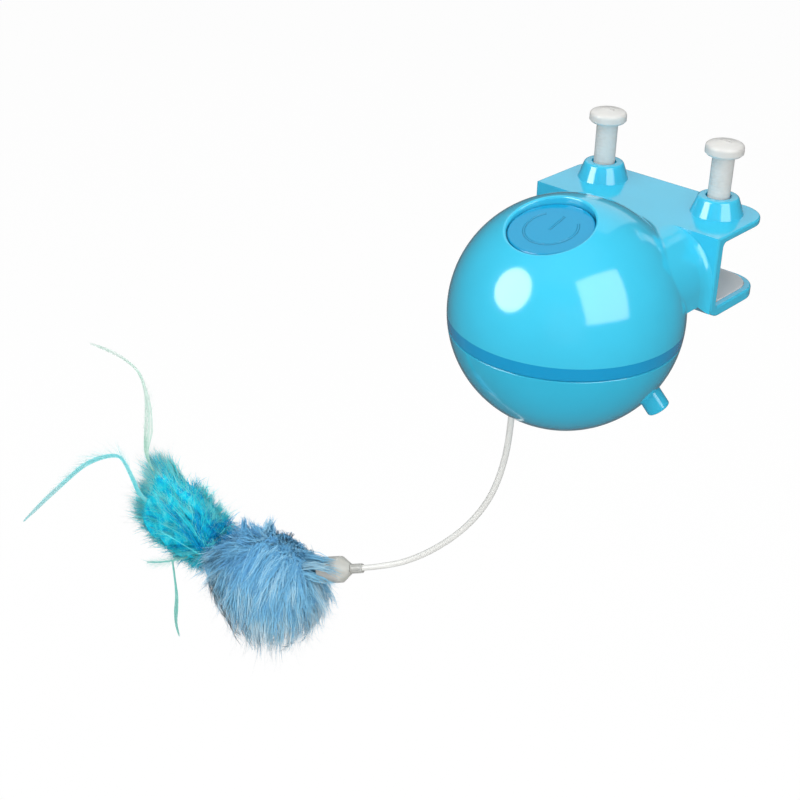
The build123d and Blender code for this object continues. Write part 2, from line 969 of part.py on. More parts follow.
def motor_plate_screws():
    shank = rod(motor_screw_radius, motor_seat - motor_screw_length, motor_seat)
    head = rod(motor_screw_head_radius, motor_seat, motor_seat + motor_screw_head_height)
    screw = shank + head
    return [Pos(ear_left_x, ear_left_y, 0) * screw, Pos(ear_right_x, ear_right_y, 0) * screw]


def drive_motor():
    top = motor_seat + motor_height
    can = rod(motor_radius, motor_seat, top)
    can = fillet(can.edges().sort_by(Axis.Z)[-1], motor_crown / 2)
    can += rod(motor_crown_radius, top - motor_crown, top + motor_crown)
    bore = rod(motor_shaft_radius + motor_shaft_play, motor_seat - cut_over, motor_seat + motor_shaft_bury)
    return Pos(0, -motor_reach, 0) * (can - bore)


def motor_shaft():
    end = motor_seat + motor_shaft_bury - motor_shaft_play
    return Pos(0, -motor_reach, 0) * rod(motor_shaft_radius, first_stage_start, end)


# Hub and bowl
def hub_bush():
    top = floor_top + bush_proud
    return ring(bush_outer_radius, bush_inner_radius, hub_boss_bottom, top)


def post_spin(shape, index):
    turn = bowl_post_spin_angle + 360 / bowl_post_count * index
    return Rot(0, 0, turn) * Pos(post_pitch_radius, 0, 0) * shape


def bowl_hub():
    flange_bottom = flange_top - hub_flange_thickness
    hub = rod(hub_flange_radius, flange_bottom, flange_top)
    hub += rod(shoulder_radius, flange_top, hub_boss_bottom - shoulder_gap)
    hub += rod(hub_radius, flange_top, floor_top + bush_proud)
    hub += d_shape(0, floor_top + bush_proud, hub_top)
    screw_end = hub_top - gear_screw_length
    hub -= rod(gear_screw_radius + thread_clearance, screw_end, hub_top + cut_over)
    hole = rod(bowl_screw_radius + thread_clearance, flange_bottom - cut_over, flange_top + cut_over)
    for index in range(bowl_post_count):
        hub -= post_spin(hole, index)
    return hub


def gear_screw():
    seat = drive_start + drive_thickness
    head = rod(gear_screw_head_radius, seat, seat + gear_screw_head_height)
    head = fillet(head.edges().sort_by(Axis.Z)[-1], gear_screw_head_height / 2)
    return head + rod(gear_screw_radius, hub_top - gear_screw_length + thread_clearance, seat)


def slip_ring_disc():
    return ring(hub_flange_radius, ring_disc_inner, flange_top, flange_top + ring_disc_thickness)


def slip_ring_tracks():
    start = flange_top + ring_disc_thickness
    end = start + track_thickness
    inner = ring(track_inner_one + track_width, track_inner_one, start, end)
    return [inner, ring(track_inner_two + track_width, track_inner_two, start, end)]


def wiper(track_inner):
    bottom = flange_top + ring_disc_thickness + track_thickness + wiper_gap
    knee = (bottom + floor_bottom) / 2
    x = track_inner + track_width / 2
    with BuildLine(Plane.XZ) as outline:
        Polyline(
            (x, bottom),
            (x + wiper_strip, bottom),
            (x + wiper_lean + wiper_strip, knee),
            (x + wiper_lean + wiper_strip, floor_bottom - wiper_strip),
            (x + wiper_lean + wiper_foot, floor_bottom - wiper_strip),
            (x + wiper_lean + wiper_foot, floor_bottom),
            (x + wiper_lean, floor_bottom),
            (x + wiper_lean, knee),
            close=True,
        )
    return extrude(make_face(outline.line.edges()), wiper_width / 2, both=True)


def wiper_springs():
    return [wiper(track_inner_one), Rot(0, 0, 180) * wiper(track_inner_two)]


def nozzle_frame():
    turn = math.radians(nozzle_turn_angle)
    drop = math.radians(nozzle_drop_angle)
    fall = math.radians(nozzle_axis_angle)
    reach = ball_radius * math.cos(drop)
    origin = (reach * math.cos(turn), reach * math.sin(turn), -ball_radius * math.sin(drop))
    level = math.cos(fall)
    axis = (level * math.cos(turn), level * math.sin(turn), -math.sin(fall))
    return Plane(origin=origin, z_dir=axis).location


def bowl_ribs():
    zone = Sphere(inner_radius + collar_bury) - Sphere(inner_radius - rib_depth)
    zone = zone & slab_below(bowl_level - rib_start)
    reach = post_pitch_radius + bowl_post_radius + rib_width
    rib = block(reach, ball_radius, -rib_width / 2, rib_width / 2, -ball_radius, 0) & zone
    turns = [rib_spin_angle + 360 / rib_count * (index + 1 / 2) for index in range(rib_count)]
    return [Rot(0, 0, turn) * rib for turn in turns]


def wand_turn(shape):
    return Rot(0, 0, wand_turn_angle) * shape


def lower_bowl():
    bowl = Sphere(ball_radius) & slab_below(bowl_level)
    bowl -= Sphere(inner_radius)
    rims = [e for e in bowl.edges() if abs(e.center().Z - bowl_level) < fit_gap]
    bowl = fillet(rims, lip_round)
    bowl += bowl_ribs()
    inside = Sphere(ball_radius - collar_bury)
    post_top = flange_top - hub_flange_thickness
    post = rod(bowl_post_radius, -ball_radius, post_top)
    for index in range(bowl_post_count):
        bowl += post_spin(post, index) & inside
    socket_top = rod_top + socket_end_gap + socket_cap
    boss = Pos(rod_reach, 0, 0) * rod(socket_boss_radius, -ball_radius, socket_top)
    bowl += wand_turn(boss) & inside
    tube = rod(nozzle_radius, -holder_length, nozzle_reach)
    tube = fillet(tube.edges().sort_by(Axis.Z)[-1], nozzle_rim_round)
    bowl += nozzle_frame() * tube
    seat = nozzle_reach - aperture_lip
    bore = rod(laser_radius + laser_clearance, -holder_length - cut_over, seat)
    bowl -= nozzle_frame() * (bore + rod(aperture_radius, 0, nozzle_reach + cut_over))
    head_seat = post_top - bowl_screw_seat
    hole = rod(bowl_bore_radius, -ball_radius - cut_over, head_seat)
    hole += rod(bowl_screw_radius + thread_clearance, -ball_radius, post_top + cut_over)
    for index in range(bowl_post_count):
        bowl -= post_spin(hole, index)
    socket = rod(rod_radius + socket_clearance, -ball_radius - cut_over, rod_top + socket_end_gap)
    return bowl - wand_turn(Pos(rod_reach, 0, 0) * socket)


def bowl_screws():
    seat = flange_top - hub_flange_thickness - bowl_screw_seat
    head = rod(bowl_screw_head_radius, seat - bowl_screw_head_height, seat)
    screw = head + rod(bowl_screw_radius, seat, seat + bowl_screw_length)
    return [post_spin(screw, index) for index in range(bowl_post_count)]


def laser_levels():
    lens_top = nozzle_reach - aperture_lip
    module_top = lens_top - lens_thickness - lens_gap
    return lens_top, module_top, module_top - laser_length


def laser_module():
    _, top, bottom = laser_levels()
    module = rod(laser_radius, bottom, top)
    module = chamfer(module.edges().filter_by(GeomType.CIRCLE), laser_chamfer)
    return nozzle_frame() * module


def laser_lens():
    top, _, _ = laser_levels()
    return nozzle_frame() * rod(laser_radius, top - lens_thickness, top)


def laser_board():
    _, _, bottom = laser_levels()
    side = 2 * laser_board_half_width
    board = Box(side * laser_board_share, side, laser_board_thickness, align=center_max)
    return nozzle_frame() * (Pos(0, 0, bottom) * board)


# Wand
def rod_points():
    return [Vector(reach, 0, level) for reach, level in rod_route]


def rod_radii():
    points = rod_points()
    radii = []
    for before, corner, after in zip(points, points[1:], points[2:]):
        turn = math.radians((corner - before).get_angle(after - corner))
        run = min((corner - before).length, (after - corner).length)
        radii.append(run_share * run / math.tan(turn / 2))
    return radii


def wand_rod():
    radii = rod_radii()
    print("rod radii", [round(radius, 1) for radius in radii])
    path = FilletPolyline(*[tuple(p) for p in rod_points()], radius=radii)
    profile = Plane(origin=path @ 0, z_dir=path % 0).location * Circle(rod_radius)
    tube = sweep(profile, path=path)
    expected = math.pi * rod_radius**2 * path.length
    print("rod length", round(path.length, 1), "volume share", round(tube.volume / expected, 4))
    return wand_turn(tube)


def tip_frame():
    points = rod_points()
    return Plane(origin=points[-1], z_dir=points[-1] - points[-2]).location


def on_tip(shape):
    return wand_turn(tip_frame() * shape)


def rod_sleeve():
    end = -sleeve_offset
    start = end - sleeve_length
    sleeve = rod(sleeve_radius, start, end)
    sleeve = fillet(sleeve.edges().filter_by(GeomType.CIRCLE), sleeve_round)
    return on_tip(sleeve - rod(rod_radius + fit_gap, start - cut_over, end + cut_over))


def lure_ferrule():
    flare_length = ferrule_flare_end - ferrule_neck_start
    flare = Cone(ferrule_neck_radius, ferrule_radius, flare_length, align=center_min)
    cup = rod(ferrule_radius, ferrule_flare_end, ferrule_length)
    ferrule = Pos(0, 0, ferrule_neck_start) * flare + cup
    ferrule -= rod(rod_radius + fit_gap, ferrule_neck_start - cut_over, fit_gap)
    mouth = ferrule_radius - ferrule_wall
    ferrule -= rod(mouth, ferrule_cup_start, ferrule_length + cut_over)
    rims = ferrule.edges().filter_by(GeomType.CIRCLE).group_by(Axis.Z)[-1]
    return on_tip(chamfer(rims, ferrule_chamfer))


def pompom_center():
    mouth = (tip_frame() * Pos(0, 0, ferrule_length)).position
    swell = math.sqrt(1 - (pompom_drop / pompom_half_height) ** 2)
    return mouth + Vector(throat_length + pompom_half_width * swell, 0, -pompom_drop)


def pompom_egg():
    egg = scale(Sphere(pompom_half_width), by=(1, 1, pompom_half_height / pompom_half_width))
    return Pos(pompom_center()) * egg


def lure_pompom():
    end = ferrule_length + throat_length + pompom_half_width / 2
    throat = tip_frame() * rod(throat_radius, ferrule_cup_start + throat_gap, end)
    return wand_turn(pompom_egg() + throat)


def crimp_frame():
    swell = math.sqrt(1 - (crimp_level / pompom_half_height) ** 2)
    reach = pompom_half_width * swell + crimp_gap
    return Pos(pompom_center() + Vector(reach, 0, crimp_level)) * Rot(0, 90, 0)


def lure_crimp():
    crimp = rod(crimp_radius, 0, crimp_length)
    crimp = chamfer(crimp.edges().filter_by(GeomType.CIRCLE), crimp_chamfer)
    return wand_turn(crimp_frame() * crimp)


def feather_root():
    return (crimp_frame() * Pos(0, 0, crimp_length + blade_gap)).position


def feather(length, route_shares, width_shares, layer):
    route = [Vector(length * along, length * up) for along, up in route_shares]
    middle = Spline(*[tuple(point) for point in route])
    left = []
    right = []
    for index, width in enumerate(width_shares):
        share = index / (len(width_shares) - 1)
        tangent = middle % share
        side = Vector(-tangent.Y, tangent.X, 0) * (width * length)
        left.append(middle @ share + side)
        right.append(middle @ share - side)
    upper = Spline(*[tuple(point) for point in left])
    lower = Spline(*[tuple(point) for point in right])
    sides = [upper, lower, Line(left[0], right[0]), Line(left[-1], right[-1])]
    blade = extrude(make_face(sides), blade_thickness)
    root = feather_root() + Vector(width_shares[0] * length, 0, 0)
    level = layer * (blade_thickness + blade_gap) - blade_thickness / 2
    upright = Pos(root) * Rot(90, 0, 0) * Pos(0, 0, level) * blade
    return wand_turn(upright)


def plume_lobes():
    radius = plume_share * plume_length
    points = [(radius * out, plume_length * along) for along, out in plume_swell_shares]
    with BuildLine(Plane.XZ) as outline:
        Spline(*points)
        Polyline(points[-1], (0, plume_length), (0, 0), points[0])
    body = revolve(make_face(outline.line.edges()), Axis.Z)
    placed = Pos(feather_root()) * Rot(0, 90 - plume_rise_angle, 0) * body
    span = 2 * plume_length
    slot_width = layer_count * (blade_thickness + blade_gap) + blade_gap
    slot = Pos(feather_root()) * Box(span, slot_width, 2 * span)
    return [wand_turn(lobe) for lobe in (placed - slot).solids()]


def turquoise_plume():
    return plume_lobes()


def hackle_upper():
    return feather(upper_length, upper_route_shares, upper_width_shares, 1)


def hackle_left():
    return feather(left_length, left_route_shares, left_width_shares, -1)


def hackle_lower():
    return feather(lower_length, lower_route_shares, lower_width_shares, 0)


def write(name, shape):
    if isinstance(shape, list):
        shape = Compound([solid for item in shape for solid in item.solids()])
    placed = Pos(0, -pad_middle, -pad_top) * shape
    export_step(placed, os.path.join("parts", name + ".step"))


os.makedirs("parts", exist_ok=True)
left_screw, right_screw = at_screws(clamp_screw())
write("upper_shell", upper_shell())
write("base_plate", base_plate())
write("base_screws", base_screws())
write("clamp_pad", clamp_pad())
write("clamp_screw_left", left_screw)
write("clamp_screw_right", right_screw)
write("battery_box", battery_box())
write("battery_cells", battery_cells())
write("cell_contacts", cell_contacts())
write("battery_door", battery_door())
write("door_contacts", door_contacts())
write("door_screws", door_screws())
write("control_board", control_board())
write("board_parts", board_parts())
write("board_screws", board_screws())
write("push_switch", push_switch())
write("switch_plunger", switch_plunger())
write("power_button", power_button())
write("drive_motor", drive_motor())
write("motor_plate", motor_plate())
write("motor_plate_screws", motor_plate_screws())
write("motor_shaft", motor_shaft())
write("motor_pinion", motor_pinion())
write("idler_gear", idler_gear())
write("idler_pin", idler_pin())
write("output_gear", output_gear())
write("gear_screw", gear_screw())
write("hub_bush", hub_bush())
write("bowl_hub", bowl_hub())
write("slip_ring_disc", slip_ring_disc())
write("slip_ring_tracks", slip_ring_tracks())
write("wiper_springs", wiper_springs())
write("lower_bowl", lower_bowl())
write("bowl_screws", bowl_screws())
write("laser_module", laser_module())
write("laser_lens", laser_lens())
write("laser_board", laser_board())
write("wand_rod", wand_rod())
write("rod_sleeve", rod_sleeve())
write("lure_ferrule", lure_ferrule())
write("lure_pompom", lure_pompom())
write("lure_crimp", lure_crimp())
write("turquoise_plume", turquoise_plume())
write("hackle_upper", hackle_upper())
write("hackle_left", hackle_left())
write("hackle_lower", hackle_lower())
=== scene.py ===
import math

import bmesh
import bpy
import numpy as np
from mathutils import Matrix, Vector


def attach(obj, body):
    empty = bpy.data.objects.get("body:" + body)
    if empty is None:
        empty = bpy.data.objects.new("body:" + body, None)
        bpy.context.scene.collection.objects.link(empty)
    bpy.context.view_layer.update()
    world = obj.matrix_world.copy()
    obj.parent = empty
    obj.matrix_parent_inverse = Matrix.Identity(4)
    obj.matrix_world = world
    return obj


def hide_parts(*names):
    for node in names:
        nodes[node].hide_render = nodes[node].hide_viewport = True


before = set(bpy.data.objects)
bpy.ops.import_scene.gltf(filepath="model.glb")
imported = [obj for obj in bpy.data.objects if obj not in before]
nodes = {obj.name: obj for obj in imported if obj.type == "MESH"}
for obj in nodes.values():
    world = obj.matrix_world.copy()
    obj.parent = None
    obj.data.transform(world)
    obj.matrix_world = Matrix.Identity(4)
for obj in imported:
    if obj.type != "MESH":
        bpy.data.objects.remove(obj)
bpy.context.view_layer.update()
print("frame loaded", len(nodes))

mm = 0.001
ballCentre = Vector((0, -49.5, -3.6)) * mm

camera = {
    "place": (264.77, -425.34, 215.43),
    "right": (0.7329, 0.68011, 0.01743),
    "up": (-0.34367, 0.34799, 0.87224),
    "back": (0.58715, -0.64525, 0.48877),
    "lens": 65.23,
}


def makeCamera(spec):
    data = bpy.data.cameras.new("viewCamera")
    data.lens = spec["lens"]
    data.sensor_width = 36
    data.clip_start = 0.01
    data.clip_end = 20
    shot = bpy.data.objects.new("viewCamera", data)
    columns = [Vector(spec[k]).normalized() for k in ("right", "up", "back")]
    turn = Matrix(columns).transposed().to_4x4()
    shot.matrix_world = Matrix.Translation(Vector(spec["place"]) * mm) @ turn
    bpy.context.scene.collection.objects.link(shot)
    bpy.context.scene.camera = shot


makeCamera(camera)
bpy.context.scene.view_settings.view_transform = "Standard"
print("camera placed")

# the wand hangs in one upright plane: reach from the ball's axis, height, and depth towards the viewer
wandTurn = math.radians(201)
wandOut = Vector((math.cos(wandTurn), math.sin(wandTurn), 0))
wandSide = Vector((-math.sin(wandTurn), math.cos(wandTurn), 0))


def onWand(reach, height, depth=0.0):
    return ballCentre + (wandOut * reach + wandSide * depth + Vector((0, 0, height))) * mm


class Shader:
    def __init__(self, name):
        self.material = bpy.data.materials.new(name)
        self.material.use_nodes = True
        self.tree = self.material.node_tree
        self.tree.nodes.clear()
        self.out = self.add("ShaderNodeOutputMaterial")
        self.coords = self.add("ShaderNodeTexCoord")

    def add(self, kind, **settings):
        node = self.tree.nodes.new(kind)
        for key, value in settings.items():
            setattr(node, key, value)
        return node

    def link(self, a, b):
        self.tree.links.new(a, b)

    def put(self, socket, value):
        if hasattr(value, "links"):
            self.link(value, socket)
        else:
            socket.default_value = value

    def mapped(self, vector, **settings):
        node = self.add("ShaderNodeMapping")
        for key, value in settings.items():
            node.inputs[key].default_value = value
        self.link(vector, node.inputs["Vector"])
        return node.outputs["Vector"]

    def noise(self, scale, detail, rough, stretch=None):
        vector = self.coords.outputs["Object"]
        if stretch:
            vector = self.mapped(vector, Scale=stretch)
        node = self.add("ShaderNodeTexNoise")
        node.inputs["Scale"].default_value = scale
        node.inputs["Detail"].default_value = detail
        node.inputs["Roughness"].default_value = rough
        self.link(vector, node.inputs["Vector"])
        return node.outputs["Fac"]

    def ramp(self, value, stops):
        node = self.add("ShaderNodeValToRGB")
        while len(node.color_ramp.elements) < len(stops):
            node.color_ramp.elements.new(0.5)
        for element, (share, colour) in zip(node.color_ramp.elements, stops):
            element.position = share
            element.color = colour
        self.link(value, node.inputs["Fac"])
        return node.outputs["Color"]

    def math(self, operation, a, b=0.0):
        node = self.add("ShaderNodeMath", operation=operation)
        self.put(node.inputs[0], a)
        self.put(node.inputs[1], b)
        return node.outputs[0]

    def vectorMath(self, operation, a, b=None):
        node = self.add("ShaderNodeVectorMath", operation=operation)
        self.link(a, node.inputs[0])
        if b:
            self.link(b, node.inputs[1])
        return node.outputs["Value" if operation == "LENGTH" else "Vector"]

    def spread(self, value, low, high, toLow, toHigh):
        node = self.add("ShaderNodeMapRange", interpolation_type="SMOOTHSTEP")
        for socket, number in zip(node.inputs[1:5], (low, high, toLow, toHigh)):
            socket.default_value = number
        self.put(node.inputs[0], value)
        return node.outputs[0]

    def bump(self, height, strength, distance, below=None):
        node = self.add("ShaderNodeBump")
        node.inputs["Strength"].default_value = strength
        node.inputs["Distance"].default_value = distance
        self.link(height, node.inputs["Height"])
        if below:
            self.link(below, node.inputs["Normal"])
        return node.outputs["Normal"]

    def surface(self, colour, rough, normal=None, **more):
        node = self.add("ShaderNodeBsdfPrincipled")
        self.put(node.inputs["Base Color"], colour)
        self.put(node.inputs["Roughness"], rough)
        if normal:
            self.link(normal, node.inputs["Normal"])
        for key, value in more.items():
            node.inputs[key].default_value = value
        return node.outputs[0]

    def blend(self, factor, first, second):
        node = self.add("ShaderNodeMixShader")
        self.put(node.inputs["Fac"], factor)
        self.link(first, node.inputs[1])
        self.link(second, node.inputs[2])
        return node.outputs[0]

    def glow(self, strength):
        node = self.add("ShaderNodeEmission")
        node.inputs["Strength"].default_value = strength
        return node.outputs[0]

    def done(self, shader):
        self.link(shader, self.out.inputs["Surface"])
        return self.material


def srgb(r, g, b):
    linear = [((c / 255 + 0.055) / 1.055) ** 2.4 if c > 10 else c / 255 / 12.92 for c in (r, g, b)]
    return (*linear, 1.0)


def shade(colour, factor):
    return (*[min(c * factor, 1.0) for c in colour[:3]], 1.0)


def mouldedGloss(name, colour, rough=0.12, coat=1.0, clear=0.04):
    s = Shader(name)
    cloud = s.noise(38, 3, 0.55)
    tint = s.ramp(cloud, [(0.3, shade(colour, 0.97)), (0.7, shade(colour, 1.03))])
    wear = s.spread(s.noise(900, 4, 0.6), 0.35, 0.75, rough * 0.85, rough * 1.25)
    peel = s.bump(s.noise(260, 2, 0.4), 0.06, 0.00012)
    grain = s.bump(s.noise(2600, 2, 0.5), 0.04, 0.00003, peel)
    return s.done(s.surface(tint, wear, grain, **{
        "Coat Weight": coat, "Coat Roughness": 0.11, "Subsurface Weight": clear,
        "Subsurface Radius": (0.2, 0.8, 1.0), "Subsurface Scale": 0.004}))


def mouldedMatte(name, colour, rough=0.5, clear=0.0):
    s = Shader(name)
    cloud = s.noise(60, 3, 0.5)
    tint = s.ramp(cloud, [(0.3, shade(colour, 0.96)), (0.7, shade(colour, 1.02))])
    wear = s.spread(s.noise(1400, 3, 0.6), 0.3, 0.7, rough * 0.9, rough * 1.1)
    grain = s.bump(s.noise(3200, 3, 0.6), 0.15, 0.00004)
    return s.done(s.surface(tint, wear, grain, **{
        "Subsurface Weight": clear, "Subsurface Radius": (1.0, 0.95, 0.85),
        "Subsurface Scale": 0.003}))


def metal(name, colour, rough=0.3, lines=(1, 1, 18)):
    s = Shader(name)
    brushed = s.noise(420, 4, 0.6, stretch=lines)
    tint = s.ramp(brushed, [(0.3, shade(colour, 0.86)), (0.7, shade(colour, 1.06))])
    wear = s.spread(brushed, 0.3, 0.7, rough * 0.7, rough * 1.3)
    return s.done(s.surface(tint, wear, s.bump(brushed, 0.12, 0.00003), Metallic=1.0))


def boardFinish(name, colour):
    s = Shader(name)
    tracks = s.add("ShaderNodeTexBrick")
    tracks.inputs["Scale"].default_value = 140
    tracks.inputs["Mortar Size"].default_value = 0.06
    tracks.inputs["Color1"].default_value = colour
    tracks.inputs["Color2"].default_value = shade(colour, 0.8)
    tracks.inputs["Mortar"].default_value = shade(colour, 1.8)
    s.link(s.coords.outputs["Object"], tracks.inputs["Vector"])
    return s.done(s.surface(tracks.outputs["Color"], 0.35, s.bump(tracks.outputs["Fac"], 0.2, 0.00005)))


finishColours = {
    "shell": srgb(62, 202, 238),
    "band": srgb(6, 158, 212),
    "bowl": srgb(52, 192, 228),
    "button": srgb(10, 158, 206),
    "nylon": srgb(221, 221, 218),
    "pad": srgb(214, 214, 214),
    "inner": srgb(226, 226, 220),
    "steel": srgb(186, 188, 190),
    "brass": srgb(206, 166, 84),
    "board": srgb(36, 98, 62),
    "dark": srgb(44, 46, 50),
    "ferrule": srgb(228, 228, 220),
}


def paint(material, *names):
    for name in names:
        slots = nodes[name].data.materials
        slots.clear()
        slots.append(material)


def powerSymbol(name, colour):
    # shade and tint darken the symbol's engraved lines: painted shade in the engraving
    spec = {"lean": 15, "centreOffset": -2.8, "radius": 9.1, "line": 0.55, "gapTurn": 91, "gapHalf": 46,
            "barFrom": -0.9, "barTo": 7.6, "above": 36.0, "shade": 0.82, "tint": 0.35, "depth": 0.4}
    s = Shader(name)
    # in millimetres from the button's middle, across its face
    where = s.mapped(s.coords.outputs["Object"], Location=tuple(-ballCentre))
    where = s.mapped(where, Rotation=(-math.radians(spec["lean"]), 0, 0), Scale=(1 / mm, 1 / mm, 1 / mm))
    where = s.mapped(where, Location=(0, -spec["centreOffset"], 0))
    where = s.mapped(where, Rotation=(0, 0, -math.radians(spec["gapTurn"])))
    axes = s.add("ShaderNodeSeparateXYZ")
    s.link(where, axes.inputs[0])
    x, y, z = axes.outputs
    radius = s.math("SQRT", s.math("ADD", s.math("MULTIPLY", x, x), s.math("MULTIPLY", y, y)))
    ringGap = s.math("ABSOLUTE", s.math("SUBTRACT", radius, spec["radius"]))
    angle = s.math("ABSOLUTE", s.math("ARCTAN2", y, x))
    pastGap = s.math("GREATER_THAN", angle, math.radians(spec["gapHalf"]))
    edge = spec["line"] * 0.4
    ringMask = s.math("MULTIPLY", s.spread(ringGap, edge, spec["line"], 1, 0), pastGap)
    across = s.spread(s.math("ABSOLUTE", y), edge, spec["line"], 1, 0)
    along = s.math("MULTIPLY", s.math("GREATER_THAN", x, spec["barFrom"]),
                   s.math("LESS_THAN", x, spec["barTo"]))
    mark = s.math("MAXIMUM", ringMask, s.math("MULTIPLY", across, along))
    mark = s.math("MULTIPLY", mark, s.math("GREATER_THAN", z, spec["above"]))
    # painted shade: the symbol's lines are mixed towards a darker blue, standing in for shade in the
    # engraving
    paintedShadeMix = s.add("ShaderNodeMix", data_type="RGBA")
    s.link(s.math("MULTIPLY", mark, spec["tint"]), paintedShadeMix.inputs["Factor"])
    paintedShadeMix.inputs["A"].default_value = colour
    paintedShadeMix.inputs["B"].default_value = shade(colour, spec["shade"])
    peel = s.bump(s.noise(260, 2, 0.4), 0.05, 0.0001)
    carved = s.add("ShaderNodeBump", invert=True)
    carved.inputs["Strength"].default_value = 1.0
    carved.inputs["Distance"].default_value = spec["depth"] * mm
    s.link(mark, carved.inputs["Height"])
    s.link(peel, carved.inputs["Normal"])
    wear = s.spread(s.noise(900, 4, 0.6), 0.35, 0.75, 0.16, 0.24)
    return s.done(s.surface(paintedShadeMix.outputs["Result"], wear, carved.outputs["Normal"], **{
        "Coat Weight": 0.6, "Coat Roughness": 0.08}))


def threadFinish(name, colour, centreX):
    spec = {"pitch": 1.25, "start": 23.4, "end": 47.2, "depth": 0.5, "centreY": 1.9}
    s = Shader(name)
    axes = s.add("ShaderNodeSeparateXYZ")
    s.link(s.mapped(s.coords.outputs["Object"], Location=(-centreX, -spec["centreY"], 0),
                    Scale=(1 / mm, 1 / mm, 1 / mm)), axes.inputs[0])
    x, y, z = axes.outputs
    turn = s.math("DIVIDE", s.math("ARCTAN2", y, x), 2 * math.pi)
    climb = s.math("ADD", s.math("DIVIDE", z, spec["pitch"]), turn)
    wave = s.math("SINE", s.math("MULTIPLY", climb, 2 * math.pi))
    inside = s.math("MULTIPLY", s.math("GREATER_THAN", z, spec["start"]),
                    s.math("LESS_THAN", z, spec["end"]))
    ridge = s.math("MULTIPLY", wave, inside)
    grain = s.bump(s.noise(1500, 3, 0.5), 0.08, 0.00004)
    cut = s.bump(ridge, 0.12, spec["depth"] * mm, grain)
    cloud = s.ramp(s.noise(120, 2, 0.5), [(0.3, shade(colour, 0.97)), (0.7, shade(colour, 1.02))])
    return s.done(s.surface(cloud, 0.32, cut, **{
        "Subsurface Weight": 0.35, "Subsurface Radius": (1.0, 0.97, 0.9),
        "Subsurface Scale": 0.004, "Coat Weight": 0.2, "Coat Roughness": 0.2}))


def translucentFerrule(name, colour):
    s = Shader(name)
    cloud = s.ramp(s.noise(150, 3, 0.5), [(0.3, shade(colour, 0.92)), (0.7, shade(colour, 1.03))])
    grain = s.bump(s.noise(1200, 2, 0.5), 0.08, 0.00004)
    return s.done(s.surface(cloud, 0.3, grain, **{
        "Subsurface Weight": 0.6, "Subsurface Radius": (1.0, 0.98, 0.92),
        "Subsurface Scale": 0.006, "Transmission Weight": 0.25, "IOR": 1.45}))


def lensGlass(name):
    s = Shader(name)
    haze = s.spread(s.noise(700, 2, 0.5), 0.3, 0.7, 0.02, 0.06)
    return s.done(s.surface(srgb(236, 240, 244), haze, None, **{"Transmission Weight": 0.9, "IOR": 1.5}))


def dressCad():
    c = finishColours
    paint(mouldedGloss("skyBlueShell", c["shell"]), "upper_shell", "battery_door")
    paint(mouldedGloss("midBlueBand", c["band"], 0.16), "base_plate")
    paint(mouldedGloss("deepBowl", c["bowl"]), "lower_bowl")
    paint(powerSymbol("buttonBlue", c["button"]), "power_button")
    paint(mouldedMatte("paleRubber", c["pad"], 0.62), "clamp_pad")
    for name, centreX in (("clamp_screw_left", -24.5), ("clamp_screw_right", 24.5)):
        paint(threadFinish("nylon" + name, c["nylon"], centreX), name)
    inner = mouldedMatte("naturalPlastic", c["inner"], 0.45, 0.1)
    paint(inner, "battery_box", "motor_plate", "motor_pinion", "idler_gear", "output_gear", "bowl_hub",
          "switch_plunger")
    steel = metal("brightSteel", c["steel"], 0.28)
    paint(steel, "base_screws", "board_screws", "motor_plate_screws", "door_screws", "bowl_screws",
          "gear_screw", "motor_shaft", "idler_pin", "drive_motor", "cell_contacts", "door_contacts",
          "lure_crimp")
    paint(metal("turnedBrass", c["brass"], 0.24), "hub_bush", "wiper_springs", "slip_ring_tracks",
          "laser_module")
    paint(boardFinish("greenBoard", c["board"]), "control_board", "slip_ring_disc", "laser_board")
    paint(mouldedMatte("darkParts", c["dark"], 0.4), "board_parts", "push_switch", "battery_cells")
    paint(lensGlass("clearLens"), "laser_lens")
    paint(translucentFerrule("cloudyPlastic", c["ferrule"]), "lure_ferrule", "rod_sleeve")


rodSpec = {
    "diameter": 2.4,
    "route": [(17.0, -28.5), (17.0, -47.0), (18.6, -66.0), (23.6, -84.5), (34.2, -102.0),
              (50.3, -118.0), (66.5, -128.0), (84.1, -134.0)],
}


def rodFinish(name, colour):
    s = Shader(name)
    cloud = s.ramp(s.noise(90, 3, 0.5), [(0.3, shade(colour, 0.97)), (0.7, shade(colour, 1.02))])
    grain = s.bump(s.noise(1800, 2, 0.5), 0.03, 0.00002)
    return s.done(s.surface(cloud, 0.36, grain, **{"Coat Weight": 0.25, "Coat Roughness": 0.15}))


def springyRod(spec):
    data = bpy.data.curves.new("springyRod", "CURVE")
    data.dimensions = "3D"
    data.resolution_u = 24
    data.bevel_depth = spec["diameter"] / 2 * mm
    data.bevel_resolution = 7
    data.use_fill_caps = True
    spline = data.splines.new("NURBS")
    spline.points.add(len(spec["route"]) - 1)
    for point, (reach, height) in zip(spline.points, spec["route"]):
        point.co = (*onWand(reach, height), 1)
    spline.order_u = 3
    spline.use_endpoint_u = True
    rod = bpy.data.objects.new("springyRod", data)
    bpy.context.scene.collection.objects.link(rod)
    data.materials.append(rodFinish("coatedWire", srgb(240, 240, 236)))
    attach(rod, "wand_body")
    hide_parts("wand_rod")
    return rod


rod = springyRod(rodSpec)
print("rod laid")


def unit(v):
    return v / np.maximum(np.linalg.norm(v, axis=-1, keepdims=True), 1e-9)


